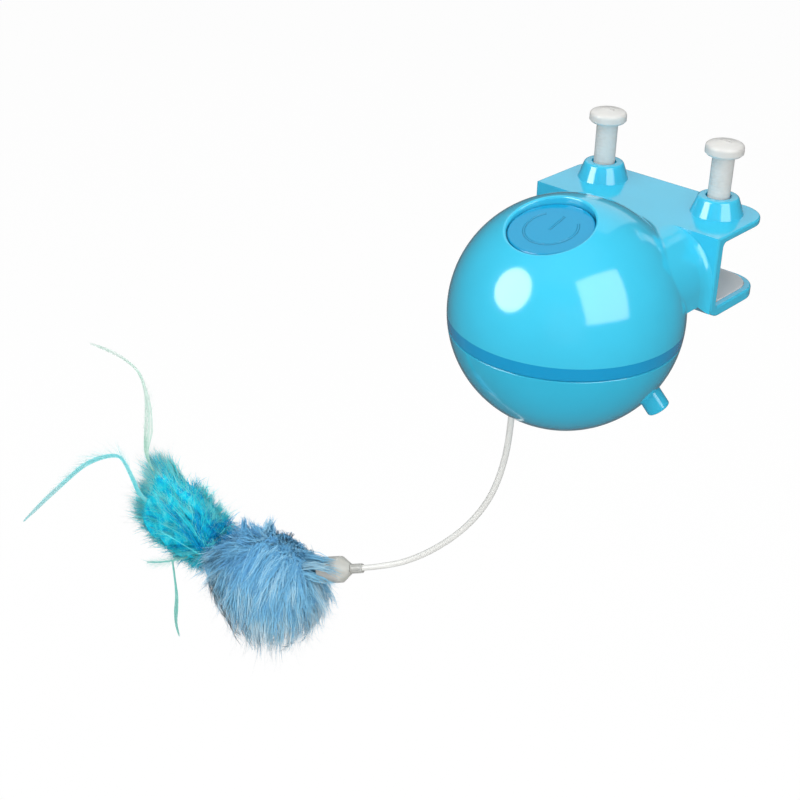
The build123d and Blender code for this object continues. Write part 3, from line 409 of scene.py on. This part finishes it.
# every strand of down is a narrow ribbon that lies flat on its tuft and tapers to its tip
class Down:
    def __init__(self, name, halfWidth):
        self.name = name
        self.data = bpy.data.curves.new(name, "CURVE")
        self.data.dimensions = "3D"
        self.data.resolution_u = 1
        self.data.extrude = halfWidth * mm
        # with this twist a ribbon without tilt is as upright as it can be
        self.data.twist_mode = "Z_UP"
        self.data.twist_smooth = 0

    def strand(self, places, radii, facing, sway=0.0):
        places = np.asarray(places)
        runs = unit(np.diff(places, axis=0))
        along = unit(np.concatenate([runs[:1], runs[:-1] + runs[1:], runs[-1:]]))
        upright = unit(np.array((0, 0, 1.0)) - along * along[:, 2:])
        across = unit(np.cross(along, facing))
        sine = (np.cross(upright, across) * along).sum(axis=1)
        tilt = np.arctan2(sine, (upright * across).sum(axis=1)) + sway
        spline = self.data.splines.new("POLY")
        spline.points.add(len(places) - 1)
        flat = np.concatenate([places, np.ones((len(places), 1))], axis=1)
        spline.points.foreach_set("co", flat.astype(np.float32).ravel())
        spline.points.foreach_set("radius", np.asarray(radii, np.float32))
        spline.points.foreach_set("tilt", tilt.astype(np.float32))

    def lock(self, corners, spec, rng, facing):
        # facing gives the outward direction at places along a strand
        shares = np.linspace(0, 1, spec["steps"])[:, None]
        left = 1 - shares
        weights = (left ** 3, 3 * left ** 2 * shares, 3 * left * shares ** 2, shares ** 3)
        radii = np.interp(shares[:, 0], (0, 0.55, 0.85, 1), spec["taper"])
        for _ in range(spec["strands"]):
            loose = [c + rng.normal(size=3) * s * mm for c, s in zip(corners, spec["spread"])]
            cut = 1 + spec["uneven"] * rng.uniform(-1, 0.4)
            tip = loose[0] + (loose[3] - loose[0]) * cut
            line = weights[0] * loose[0] + weights[1] * loose[1] + weights[2] * loose[2] + weights[3] * tip
            self.strand(line, radii * (0.7 + 0.6 * rng.random()), facing(line), rng.normal() * 0.35)

    def finish(self, material, slot, replaced=None):
        loose = bpy.data.objects.new(self.name + "Loose", self.data)
        mesh = bpy.data.meshes.new_from_object(loose)
        mesh.name = self.name
        bpy.data.objects.remove(loose)
        piece = bpy.data.objects.new(self.name, mesh)
        bpy.context.scene.collection.objects.link(piece)
        mesh.materials.clear()
        mesh.materials.append(material)
        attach(piece, "wand_body")
        if replaced:
            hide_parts(replaced)
        print(self.name, "faces", len(mesh.polygons))


def smoothPath(points, steps):
    data = bpy.data.curves.new("guide", "CURVE")
    data.dimensions = "3D"
    data.resolution_u = 16
    spline = data.splines.new("NURBS")
    spline.points.add(len(points) - 1)
    for point, spot in zip(spline.points, points):
        point.co = (*spot, 1)
    spline.order_u = 4
    spline.use_endpoint_u = True
    guide = bpy.data.objects.new("guide", data)
    line = bpy.data.meshes.new_from_object(guide)
    dots = np.array([v.co for v in line.vertices])
    bpy.data.objects.remove(guide)
    bpy.data.curves.remove(data)
    bpy.data.meshes.remove(line)
    reach = np.concatenate([[0], np.cumsum(np.linalg.norm(np.diff(dots, axis=0), axis=1))])
    wanted = np.linspace(0, reach[-1], steps)
    return np.stack([np.interp(wanted, reach, dots[:, axis]) for axis in range(3)], axis=1)


def wandPoint(reach, height, depth=0.0):
    return np.array(onWand(reach, height, depth))


def downFinish(name, tones, centre, reach, heart, clear=0.1, lift=0.42, own=0.4):
    # barbs let light through, so it falls on them as on the whole tuft round its heart
    s = Shader(name)
    fine = s.noise(900, 3, 0.6)
    wide = s.noise(110, 2, 0.5)
    blend = s.math("ADD", s.math("MULTIPLY", fine, 0.4), s.math("MULTIPLY", wide, 0.4))
    far = s.vectorMath("LENGTH", s.mapped(s.coords.outputs["Object"], Location=tuple(-centre)))
    out = s.spread(far, reach * 0.2, reach, 0.0, lift)
    colour = s.ramp(s.math("ADD", blend, out), [(0.34, tones[0]), (0.6, tones[1]), (0.9, tones[2])])
    away = s.vectorMath("NORMALIZE", s.mapped(s.coords.outputs["Object"], Location=tuple(-heart)))
    turned = s.add("ShaderNodeVectorTransform", vector_type="VECTOR", convert_from="OBJECT",
                   convert_to="WORLD")
    s.link(away, turned.inputs[0])
    face = s.mapped(s.add("ShaderNodeNewGeometry").outputs["Normal"], Scale=(own, own, own))
    normal = s.vectorMath("NORMALIZE", s.vectorMath("ADD", turned.outputs[0], face))
    body = s.surface(colour, 0.5, normal, **{"Specular IOR Level": 0.1})
    through = s.add("ShaderNodeBsdfTranslucent")
    s.link(colour, through.inputs["Color"])
    return s.done(s.blend(clear, body, through.outputs[0]))


def underDown(name, tones, stretch):
    s = Shader(name)
    streaks = s.noise(520, 4, 0.65, stretch=stretch)
    wide = s.noise(120, 2, 0.5)
    blend = s.math("ADD", s.math("MULTIPLY", streaks, 0.7), s.math("MULTIPLY", wide, 0.3))
    colour = s.ramp(blend, [(0.38, tones[0]), (0.52, tones[1]), (0.68, tones[2])])
    return s.done(s.surface(colour, 0.8, s.bump(streaks, 0.6, 0.0012), **{"Specular IOR Level": 0.1}))


# the matted down under the loose barbs, which keeps a tuft from being see-through
def mattedCore(name, shape, material, replaced):
    bm = bmesh.new()
    bmesh.ops.create_icosphere(bm, subdivisions=5, radius=1)
    for vertex in bm.verts:
        vertex.co = shape(vertex.co.normalized())
    bmesh.ops.recalc_face_normals(bm, faces=bm.faces)
    for face in bm.faces:
        face.smooth = True
    mesh = bpy.data.meshes.new(name)
    bm.to_mesh(mesh)
    bm.free()
    mesh.materials.append(material)
    piece = bpy.data.objects.new(name, mesh)
    bpy.context.scene.collection.objects.link(piece)
    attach(piece, "wand_body")
    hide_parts(replaced)


pompomSpec = {
    "middle": (121, -150),
    # how far the tips stand from the middle, by direction in the wand's plane, in degrees from outward
    "directions": (0, 15, 30, 45, 60, 70, 81, 97, 106, 117, 132, 142, 155, 168, 182, 197, 220, 244, 260,
                   272, 278, 288, 298, 311, 325, 340, 351, 360),
    "reaches": (33, 31, 28, 27, 27, 25.5, 21, 20, 19, 18.5, 19.5, 21.5, 23.5, 25.5, 32, 30, 29.5, 33.5, 37,
                37.5, 36.5, 34, 30.5, 27, 25.5, 26.5, 30, 33),
    "thickness": (18, 15.5),
    "core": 0.84,
    "parting": (118, -133),
    "locks": 640,
    # how far the roots spread from the parting: outwards, up and towards the viewer
    "roots": (14, 3.5, 8),
    "droop": 4,
    "jitter": 0.05,
    "ragged": 0.035,
    "deepShare": 0.2,
    "edgeBand": 0.45,
    "lock": {"strands": 15, "steps": 6, "spread": (1.2, 1.5, 1.3, 1.3), "uneven": 0.22,
             "taper": (0.8, 1, 0.8, 0.06)},
    "fuzz": {"strands": 6, "steps": 4, "spread": (1.2, 1.6, 1.6, 2.0), "uneven": 0.4,
             "taper": (1, 0.8, 0.4, 0.05)},
    "edge": {"strands": 6, "steps": 4, "spread": (1.2, 1.5, 1.8, 2.2), "uneven": 0.6,
             "taper": (1, 0.8, 0.4, 0.05)},
    "hanging": 230,
    # shares of the deep, mid and bright tones in the hanging layer; the large bright share is painted light
    # on the underside
    "hangTones": (0.1, 0.36, 0.54),
    "hang": {"strands": 12, "steps": 6, "spread": (1.3, 1.2, 1.1, 1.0), "uneven": 0.2,
             "taper": (0.5, 1, 0.9, 0.08)},
    # single tufts: from, to, strands, tone, arch; the last four lie over the ferrule
    "tufts": [((123.5, -132.2, -3), (122.0, -124.5, -8), 46, 2, 0),
              ((120.8, -133.2, -6), (122.3, -126.6, -10), 36, 1, 0),
              ((130.5, -129.4, 0.5), (132.4, -124.1, -4), 50, 1, 0),
              ((105.5, -138.5, -2), (84.8, -132.8, 5.2), 60, 1, 5),
              ((105.0, -140.5, 2), (86.7, -138.8, 4.7), 60, 1, 4),
              ((106.0, -137.5, -4), (88.1, -129.6, 3.2), 44, 1, 4),
              ((105.5, -139.0, 0), (85.4, -131.5, 5.2), 40, 2, 5)],
    "tuft": {"steps": 5, "spread": (1.0, 1.5, 1.4, 0.9), "uneven": 0.3, "taper": (1, 1, 0.7, 0.05)},
}
# turned by this much each time, directions cover a ball evenly
goldenTurn = 2.39996


def tuftReach(spec, heading):
    flat = math.hypot(heading[0], heading[1])
    angle = math.degrees(math.atan2(heading[1], heading[0])) % 360
    reach = np.interp(angle, spec["directions"], spec["reaches"])
    deep = spec["thickness"][0] if heading[2] > 0 else spec["thickness"][1]
    return 1 / math.hypot(flat / reach, heading[2] / deep)


def bluePompom(spec):
    rng = np.random.default_rng(5)
    tones = [Down("pompomDeep", 0.13), Down("pompomDown", 0.13), Down("pompomBright", 0.14)]
    fuzz = Down("pompomFuzz", 0.04)
    middle = wandPoint(*spec["middle"])
    outward, upward, toward = np.array(wandOut), np.array((0, 0, 1.0)), np.array(wandSide)
    wandAxes = np.stack((outward, upward, toward))

    def facing(line):
        return line - middle

    for index in range(spec["locks"]):
        height = 1 - 2 * (index + 0.5) / spec["locks"]
        turn = index * goldenTurn
        ring = math.sqrt(1 - height * height)
        heading = np.array((ring * math.cos(turn), height, ring * math.sin(turn)))
        heading = unit(heading + rng.normal(size=3) * spec["jitter"])
        reach = tuftReach(spec, heading) * (1 + rng.normal() * spec["ragged"])
        tip = middle + heading @ wandAxes * reach * mm
        spread = spec["roots"] * heading
        root = wandPoint(spec["parting"][0] + spread[0] + rng.normal() * 2,
                         spec["parting"][1] + spread[1] - spec["droop"] * abs(heading[0]) + rng.normal(),
                         spread[2])
        out = tip - root
        long = np.linalg.norm(out)
        # long barbs first swell outwards over the tuft and then hang
        swell = toward * heading[2] * long * 0.3 + outward * heading[0] * long * 0.16 + upward * long * 0.05
        corners = [root, root + out * 0.3 + swell, root + out * 0.7 + swell * 0.8, tip]
        # painted light: strands that point down take the bright tone more often, standing in for light from
        # below on the underside
        litUndersideChance = 0.2 + 0.3 * max(0, -heading[1])
        tone = 0 if rng.random() < spec["deepShare"] else (2 if rng.random() < litUndersideChance else 1)
        tones[tone].lock(corners, spec["lock"], rng, facing)
        fuzz.lock([corners[2] * 0.5 + root * 0.5, corners[2], tip * 0.7 + corners[2] * 0.3, tip + out * 0.03],
                  spec["fuzz"], rng, facing)
        if abs(heading[2]) < spec["edgeBand"]:
            fuzz.lock([tip - out * 0.3, tip - out * 0.15, tip, tip + out * 3 * mm / long], spec["edge"], rng,
                      facing)
    # a second layer hangs over the lower half; its tones lean to the bright one, painted light on the
    # underside
    for index in range(spec["hanging"]):
        heading = unit(np.array((rng.normal() * 0.75, -abs(rng.normal() * 0.5) - 0.25, rng.normal() * 0.8)))
        above = unit(heading + np.array((0, 0.75 + 0.5 * rng.random(), 0)))
        tip, root = (middle + way @ wandAxes * tuftReach(spec, way) * share * mm
                     for way, share in ((heading, rng.uniform(0.9, 1.03)), (above, 0.82)))
        swell = unit(root + tip - 2 * middle) * np.linalg.norm(tip - root) * 0.16
        tone = rng.choice(3, p=spec["hangTones"])
        tones[tone].lock([root, root * 0.67 + tip * 0.33 + swell, root * 0.3 + tip * 0.7 + swell, tip],
                         spec["hang"], rng, facing)
    for begin, end, count, tone, arch in spec["tufts"]:
        a, d = wandPoint(*begin), wandPoint(*end)
        over = (toward * 0.6 + upward * 0.8) * arch * mm
        tones[tone].lock([a, a * 0.7 + d * 0.3 + over, a * 0.3 + d * 0.7 + over, d],
                         {**spec["tuft"], "strands": count}, rng, lambda line: toward + upward * 0.4)
    centre, heart = onWand(119, -136), onWand(118, -162, -9)
    blues = (("deepBlueDown", (srgb(104, 180, 236), srgb(134, 206, 250), srgb(172, 226, 253))),
             ("blueDown", (srgb(112, 190, 240), srgb(152, 220, 254), srgb(198, 238, 255))),
             ("brightBlueDown", (srgb(140, 212, 252), srgb(190, 234, 255), srgb(238, 250, 255))))
    for down, (name, colours) in zip(tones, blues):
        finish = downFinish(name, colours, centre, 0.054, heart, lift=0.55)
        down.finish(finish, "feather_blue", "lure_pompom")

    def coreShape(heading):
        lumps = 1 + 0.05 * math.sin(9 * heading.x + 5 * heading.y) * math.cos(8 * heading.y - 6 * heading.z)
        reach = tuftReach(spec, heading) * (spec["core"] - 0.12 * max(0, -heading.y)) * lumps
        reachOut, height = spec["middle"]
        return onWand(reachOut + heading.x * reach, height + heading.y * reach, heading.z * reach)

    under = underDown("mattedBlue", (srgb(96, 174, 230), srgb(142, 212, 252), srgb(186, 232, 255)),
                      (1, 1, 0.16))
    mattedCore("pompomUnder", coreShape, under, "lure_pompom")
    pale = downFinish("paleBlueFuzz", (srgb(140, 208, 250), srgb(180, 228, 252), srgb(216, 242, 255)),
                      centre, 0.054, heart, clear=0.4)
    fuzz.finish(pale, "feather_blue", "lure_pompom")


plumeSpec = {
    "root": (147, -141),
    "middle": (163, -121),
    # how far the tips stand from the root, by direction in degrees from outward
    "directions": (-64, -49, -26, -14, -4, 8, 18, 34, 46, 56, 61, 65, 67, 75, 81, 87, 96, 106, 120, 135),
    "reaches": (12, 15, 20, 24, 29.5, 35.5, 39, 41, 43.5, 49, 49.5, 45, 37, 34, 32, 28.5, 25, 22.5, 20.5, 17),
    "thickness": 7.0,
    "coreTurn": 82,
    # the pale quill that shows on its front
    "streak": ((147.0, -138.7, 9), (165.8, -131.1, 9)),
    "streakLock": {"strands": 5, "steps": 6, "spread": (0.1, 0.1, 0.1, 0.2), "uneven": 0.1,
                   "taper": (1, 1, 0.8, 0.2)},
    "locks": 620,
    # this share of the locks gathers round one direction
    "gathered": (0.4, 44, 22),
    "tipShare": 0.35,
    # every fifth lock goes to one of the two shoulders, which are as dense as the rest
    "shoulderEvery": 5,
    "shoulders": ((0, 42), (48, 65)),
    "lock": {"strands": 14, "steps": 5, "spread": (0.9, 1.2, 1.3, 1.5), "uneven": 0.3,
             "taper": (0.9, 1, 0.7, 0.05)},
    "fuzz": {"strands": 6, "steps": 4, "spread": (1.2, 1.6, 1.9, 2.3), "uneven": 0.5,
             "taper": (1, 0.8, 0.4, 0.05)},
}


def turquoisePlume(spec):
    rng = np.random.default_rng(11)
    tones = [Down("plumeDeep", 0.13), Down("plumeDown", 0.13), Down("plumePale", 0.11)]
    fuzz = Down("plumeFuzz", 0.04)
    rootReach, rootHeight = spec["root"]
    middle = wandPoint(*spec["middle"])
    toward = np.array(wandSide)

    def facing(line):
        away = line - middle
        return away * 0.25 + toward * np.copysign(9 * mm, away @ toward)[:, None]

    for index in range(spec["locks"]):
        angle = rng.uniform(spec["directions"][0], spec["directions"][-1])
        share, middleTurn, fanWidth = spec["gathered"]
        if rng.random() < share:
            angle = middleTurn + rng.normal() * fanWidth
        begin = rng.uniform(0.0, 0.62)
        end = min(1.0, begin + rng.uniform(0.3, 0.5))
        if rng.random() < spec["tipShare"]:
            begin, end = rng.uniform(0.45, 0.62), rng.uniform(0.9, 1.0)
        if index % spec["shoulderEvery"] == 0:
            angle, begin, end = rng.uniform(*spec["shoulders"][index % 2]), 0.58, rng.uniform(0.86, 1)
        reach = np.interp(angle, spec["directions"], spec["reaches"])
        belly = spec["thickness"] * math.sin(math.pi * min(0.15 + 0.8 * end, 1)) ** 0.8
        depth = rng.uniform(-1, 1) * belly
        turned = math.radians(angle)
        fan = math.radians(angle + rng.normal() * 9 + 10 * (angle > 70) - 8 * (angle < 20))
        startReach = rootReach + math.cos(turned) * reach * begin
        startHeight = rootHeight + math.sin(turned) * reach * begin
        a = wandPoint(startReach, startHeight, depth * 0.6)
        d = wandPoint(startReach + math.cos(fan) * reach * (end - begin),
                      startHeight + math.sin(fan) * reach * (end - begin), depth)
        # barbs leave the quill along it and then turn out
        along = (np.array(wandOut) * math.cos(turned) + np.array((0, 0, math.sin(turned)))) * mm
        b = a + (d - a) * 0.35 + along * 1.5
        c = a + (d - a) * 0.75 + along
        near = reach * end
        deepChance = 0.85 if near < 20 and angle > 30 else 0.2
        paleChance = 0.6 if angle > 68 else 0.3
        tone = 0 if rng.random() < deepChance else (2 if rng.random() < paleChance else 1)
        tones[tone].lock([a, b, c, d], spec["lock"], rng, facing)
        fuzz.lock([b, c, d, d + (d - a) * 0.12], spec["fuzz"], rng, facing)
    begin, end = (wandPoint(*p) for p in spec["streak"])
    tones[2].lock([begin, begin * 0.67 + end * 0.33, begin * 0.33 + end * 0.67, end], spec["streakLock"],
                  rng, lambda line: toward)
    centre, heart = onWand(145, -139), onWand(153, -141, -3)
    blues = (("deepTurquoise", (srgb(0, 160, 226), srgb(4, 204, 244), srgb(80, 230, 250))),
             ("turquoise", (srgb(20, 216, 242), srgb(74, 242, 252), srgb(140, 250, 255))),
             ("lightTurquoise", (srgb(80, 234, 246), srgb(140, 246, 252), srgb(206, 252, 252))))
    for down, (name, colours) in zip(tones, blues):
        finish = downFinish(name, colours, centre, 0.05, heart, own=1.0)
        down.finish(finish, "feather_turquoise", "turquoise_plume")

    def coreShape(heading):
        angle = 36 + spec["coreTurn"] * math.copysign(abs(heading.y) ** 0.7, heading.y)
        reach = np.interp(angle, spec["directions"], spec["reaches"]) * (0.5 + 0.4 * heading.x)
        turned = math.radians(angle)
        lumps = math.sin(11 * heading.x + 6 * heading.y) * 0.7
        return onWand(rootReach + math.cos(turned) * reach, rootHeight + math.sin(turned) * reach,
                      heading.z * spec["thickness"] * 0.62 + lumps)

    under = underDown("mattedTurquoise", (srgb(0, 170, 222), srgb(30, 214, 236), srgb(110, 234, 244)),
                      (1, 1, 0.5))
    mattedCore("plumeUnder", coreShape, under, "turquoise_plume")
    pale = downFinish("paleTurquoiseFuzz", (srgb(120, 236, 244), srgb(180, 246, 248), srgb(224, 252, 250)),
                      centre, 0.05, heart, clear=0.4)
    fuzz.finish(pale, "feather_turquoise", "turquoise_plume")


# long thin feathers: a quill with a smooth vane and loose barbs on each side, all lengths from root to tip
hackleSpecs = {
    "hackleUpper": {
        "node": "hackle_upper",
        "quill": [(150, -142, 0), (160, -128, 0), (174.3, -103.3, 2), (174.6, -96.5, 2), (173.6, -87.5, 2),
                  (172.4, -78.6, 2), (172.0, -71.0, 2), (172.9, -64.2, 2), (175.0, -59.4, 2),
                  (179.6, -56.7, 1.5), (187.3, -53.8, 1), (197.5, -52.9, 0.5)],
        "vane": ((0, 0, 0, 0, 0.1, 1.6, 3.6, 2.6, 0.8, 0.4, 0.8, 0.4),
                 (0.2, 0.2, 0.2, 0.3, 0.3, 0.4, 0.4, 0.3, 0.4, 0.5, 0.7, 0.5)),
        "barbs": ((0, 0, 0, 0, 0.4, 4.5, 9, 8, 2.5, 1.6, 1.8, 1.2),
                  (0, 0, 0, 0.3, 0.6, 1.2, 3.6, 2.4, 1.6, 1.2, 1.4, 1.0)),
        "count": 900, "open": 20, "colours": (srgb(176, 230, 212), srgb(222, 248, 238), srgb(250, 255, 253)),
    },
    "hackleLeft": {
        "node": "hackle_left",
        "quill": [(150, -142, 0), (160, -131, 1), (177.9, -122.7, 3), (179.1, -115.3, 4),
                  (182.0, -108.5, 4), (184.5, -103.4, 4), (186.8, -102.0, 4), (191.8, -103.7, 4),
                  (197.8, -107.0, 3.5), (205.2, -112.3, 3), (211.7, -118.8, 2.5), (221.9, -129.5, 2),
                  (232.4, -140.7, 1.5), (242.4, -152.2, 1)],
        "vane": ((0, 0.2, 0.8, 1.2, 1.2, 1.0, 1.2, 1.2, 1.0, 0.9, 0.8, 0.6, 0.2),
                 (0, 0.2, 0.8, 1.0, 0.9, 0.5, 0.4, 0.4, 0.5, 0.6, 0.6, 0.5, 0.1)),
        "barbs": ((0, 0, 1.5, 2.5, 4, 9, 9.5, 7.5, 6.5, 5, 3.5, 2.4, 1),
                  (0, 0, 1.5, 2, 2, 1.4, 1.2, 1.4, 1.4, 1.4, 1.4, 1.2, 0.6)),
        "count": 1000, "open": 23, "colours": (srgb(114, 234, 243), srgb(172, 247, 250), srgb(236, 254, 254)),
    },
    "hackleLower": {
        "node": "hackle_lower",
        "quill": [(150, -143, 0), (157, -148, 2), (165.0, -148.2, 3), (164.2, -153.8, 3),
                  (164.0, -161.3, 3), (163.4, -170.3, 3), (165.2, -180.8, 3), (165.1, -186.9, 3),
                  (163.7, -191.5, 3)],
        "vane": ((0, 0, 0.1, 0.2, 0.3, 0.6, 0.8, 0.4, 0.2), (0, 0, 0.1, 0.2, 0.3, 0.6, 0.8, 0.4, 0.2)),
        "barbs": ((0, 0, 0.3, 0.6, 1.2, 2.0, 2.2, 1.2, 0.6), (0, 0, 0.3, 0.6, 1.2, 2.0, 2.4, 1.6, 0.6)),
        "count": 300, "open": 16, "colours": (srgb(140, 226, 216), srgb(180, 240, 232), srgb(234, 252, 246)),
    },
    "mintSpray": {
        "node": "hackle_lower",
        "quill": [(150, -143, 2), (158, -147, 4), (166, -151, 5), (175.9, -153.1, 5)],
        "vane": ((0, 0.1, 0.1, 0.1), (0, 0.1, 0.1, 0.1)),
        "barbs": ((0, 2, 5, 5, 3), (0, 2, 5, 6, 3)),
        "count": 160, "open": 32, "colours": (srgb(140, 226, 218), srgb(190, 240, 234), srgb(228, 250, 246)),
    },
}


def profileAt(share, profile):
    return np.interp(share, np.linspace(0, 1, len(profile)), profile)


def hackle(name, spec, seed):
    steps, vaneRows, shortest = 90, 9, 0.25 * mm
    rng = np.random.default_rng(seed)
    barbs, vane = Down(name + "Barbs", 0.045), Down(name, 0.16)
    path = smoothPath([onWand(*p) for p in spec["quill"]], steps)
    tangents = unit(np.gradient(path, axis=0))
    facing = np.array(wandSide)
    sides = unit(np.cross(tangents, facing))
    for index in range(spec["count"]):
        share = (index + rng.random()) / spec["count"]
        low = min(int(share * (steps - 1)), steps - 2)
        root = path[low] + (path[low + 1] - path[low]) * (share * (steps - 1) - low)
        sign = 1 if index % 2 else -1
        length = profileAt(share, spec["barbs"][index % 2 == 0]) * mm * rng.uniform(0.5, 1.15)
        if length < shortest:
            continue
        lean = math.radians(spec["open"] + rng.normal() * 6)
        ahead = tangents[low]
        heading = ahead * math.cos(lean) + sides[low] * sign * math.sin(lean) + facing * rng.normal() * 0.12
        spots = [root + heading * length * k + ahead * length * 0.25 * k * k for k in (0, 0.35, 0.7, 1)]
        barbs.strand(spots, (1, 0.8, 0.5, 0.05), facing, rng.normal() * 0.4)
    shares = np.linspace(0, 1, len(path))
    for sign, widths in zip((1, -1), spec["vane"]):
        width = profileAt(shares, widths) * mm
        for row in np.linspace(0.1, 1, vaneRows):
            waver = np.cumsum(rng.normal(size=len(path))) * 0.01 * mm
            lift = facing * rng.normal() * 0.1 * mm
            line = path + sides * (width * row * sign + waver)[:, None] + lift
            vane.strand(line, np.interp(shares, (0, 0.9, 1), (1, 0.9, 0.15)), facing, rng.normal() * 0.2)
    finish = downFinish(name + "Finish", spec["colours"], onWand(147, -143), 0.1, onWand(160, -170),
                        clear=0.2, lift=0.34, own=4.0)
    vane.finish(finish, "feather_mint", spec["node"])
    barbs.finish(finish, "feather_mint", spec["node"])


tinselSpec = {
    "bunches": [((108.6, -134.8, -5), 16, 4.0), ((117.0, -130.4, 1), 7, 2.0), ((143.2, -141.4, 4), 10, 2.4)],
}


def tinsel(spec):
    rng = np.random.default_rng(3)
    threads = Down("silverTinsel", 0.16)
    for spot, count, reach in spec["bunches"]:
        for _ in range(count):
            root = wandPoint(*spot) + rng.normal(size=3) * 0.8 * mm
            heading = unit(np.array(wandOut) * rng.normal() * 1.4 + rng.normal(size=3) * 0.6)
            spots = [root + heading * reach * mm * k for k in (-0.5, 0, 0.5)]
            threads.strand(spots, (0.6, 1, 0.6), np.array(wandSide), rng.normal())
    s = Shader("silverFoil")
    glint = s.ramp(s.noise(900, 2, 0.5), [(0.42, srgb(70, 66, 64)), (0.6, srgb(225, 224, 220))])
    threads.finish(s.done(s.surface(glint, 0.2, None, Metallic=1.0)), "steel")


bluePompom(pompomSpec)
turquoisePlume(plumeSpec)
for seed, (name, spec) in enumerate(hackleSpecs.items(), 21):
    hackle(name, spec, seed)
tinsel(tinselSpec)
dressCad()
print("pieces dressed")


studio = {
    "world": 0.55,
    "worldGloss": 0.1,
    "floor": {"size": 4, "level": -0.45, "seen": 0.9, "light": 1.05, "gloss": 0.12},
    "lamps": {
        "overhead": {"toward": (0.05, -0.25, 1.0), "far": 1.3, "size": 1.3, "watts": 10.5, "gloss": False},
        "frontFill": {"toward": (0.75, -1.0, 0.3), "far": 1.5, "size": 1.0, "watts": 9, "gloss": False},
        "roundBox": {"toward": (-0.401, -0.781, 0.478), "far": 1.2, "size": 0.8, "watts": 10.5,
                     "diffuse": False, "round": True},
        "squareBox": {"toward": (0.806, -0.172, 0.567), "far": 1.2, "size": 0.95, "watts": 8.5,
                      "diffuse": False, "roll": -0.06},
        "backCard": {"toward": (-0.45, 0.62, 0.64), "far": 1.5, "size": 1.5, "watts": 3.2, "diffuse": False},
    },
}


def makeLamp(name, spec):
    data = bpy.data.lights.new(name, "AREA")
    data.shape = "DISK" if spec.get("round") else "SQUARE"
    data.size = spec["size"]
    data.energy = spec["watts"]
    lamp = bpy.data.objects.new(name, data)
    away = Vector(spec["toward"]).normalized()
    lamp.location = ballCentre + away * spec["far"]
    turn = away.to_track_quat("Z", "Y") @ Matrix.Rotation(spec.get("roll", 0.0), 3, "Z").to_quaternion()
    lamp.rotation_euler = turn.to_euler()
    lamp.visible_diffuse = spec.get("diffuse", True)
    lamp.visible_glossy = spec.get("gloss", True)
    lamp.visible_camera = False
    bpy.context.scene.collection.objects.link(lamp)


def makeWorld(spec):
    world = bpy.data.worlds.new("softWhite")
    world.use_nodes = True
    bpy.context.scene.world = world
    tree = world.node_tree
    ground = tree.nodes["Background"]
    ground.inputs["Color"].default_value = (1, 1, 1, 1)
    path = tree.nodes.new("ShaderNodeLightPath")
    gloss = tree.nodes.new("ShaderNodeMapRange")
    gloss.inputs["To Min"].default_value = spec["world"]
    gloss.inputs["To Max"].default_value = spec["worldGloss"]
    tree.links.new(path.outputs["Is Glossy Ray"], gloss.inputs["Value"])
    seen = tree.nodes.new("ShaderNodeMapRange")
    seen.inputs["To Max"].default_value = 1.0
    tree.links.new(path.outputs["Is Camera Ray"], seen.inputs["Value"])
    tree.links.new(gloss.outputs["Result"], seen.inputs["To Min"])
    tree.links.new(seen.outputs["Result"], ground.inputs["Strength"])


def makeFloor(spec):
    bm = bmesh.new()
    bmesh.ops.create_grid(bm, x_segments=2, y_segments=2, size=spec["size"])
    bmesh.ops.translate(bm, verts=bm.verts, vec=(0, 0, spec["level"]))
    mesh = bpy.data.meshes.new("studioFloor")
    bm.to_mesh(mesh)
    bm.free()
    floor = bpy.data.objects.new("studioFloor", mesh)
    bpy.context.scene.collection.objects.link(floor)
    s = Shader("whiteFloor")
    pale = s.ramp(s.noise(3, 2, 0.5), [(0.3, (0.6, 0.6, 0.6, 1)), (0.7, (0.64, 0.64, 0.64, 1))])
    rays = s.add("ShaderNodeLightPath")
    seen = s.math("MULTIPLY", rays.outputs["Is Camera Ray"], spec["seen"])
    lit = s.blend(seen, s.surface(pale, 0.8), s.glow(spec["light"]))
    # the photographed toy mirrors dark surroundings, so gloss sees little of the floor
    mesh.materials.append(s.done(s.blend(rays.outputs["Is Glossy Ray"], lit, s.glow(spec["gloss"]))))


makeWorld(studio)
for name, lamp in studio["lamps"].items():
    makeLamp(name, lamp)
makeFloor(studio["floor"])
print("studio lit")
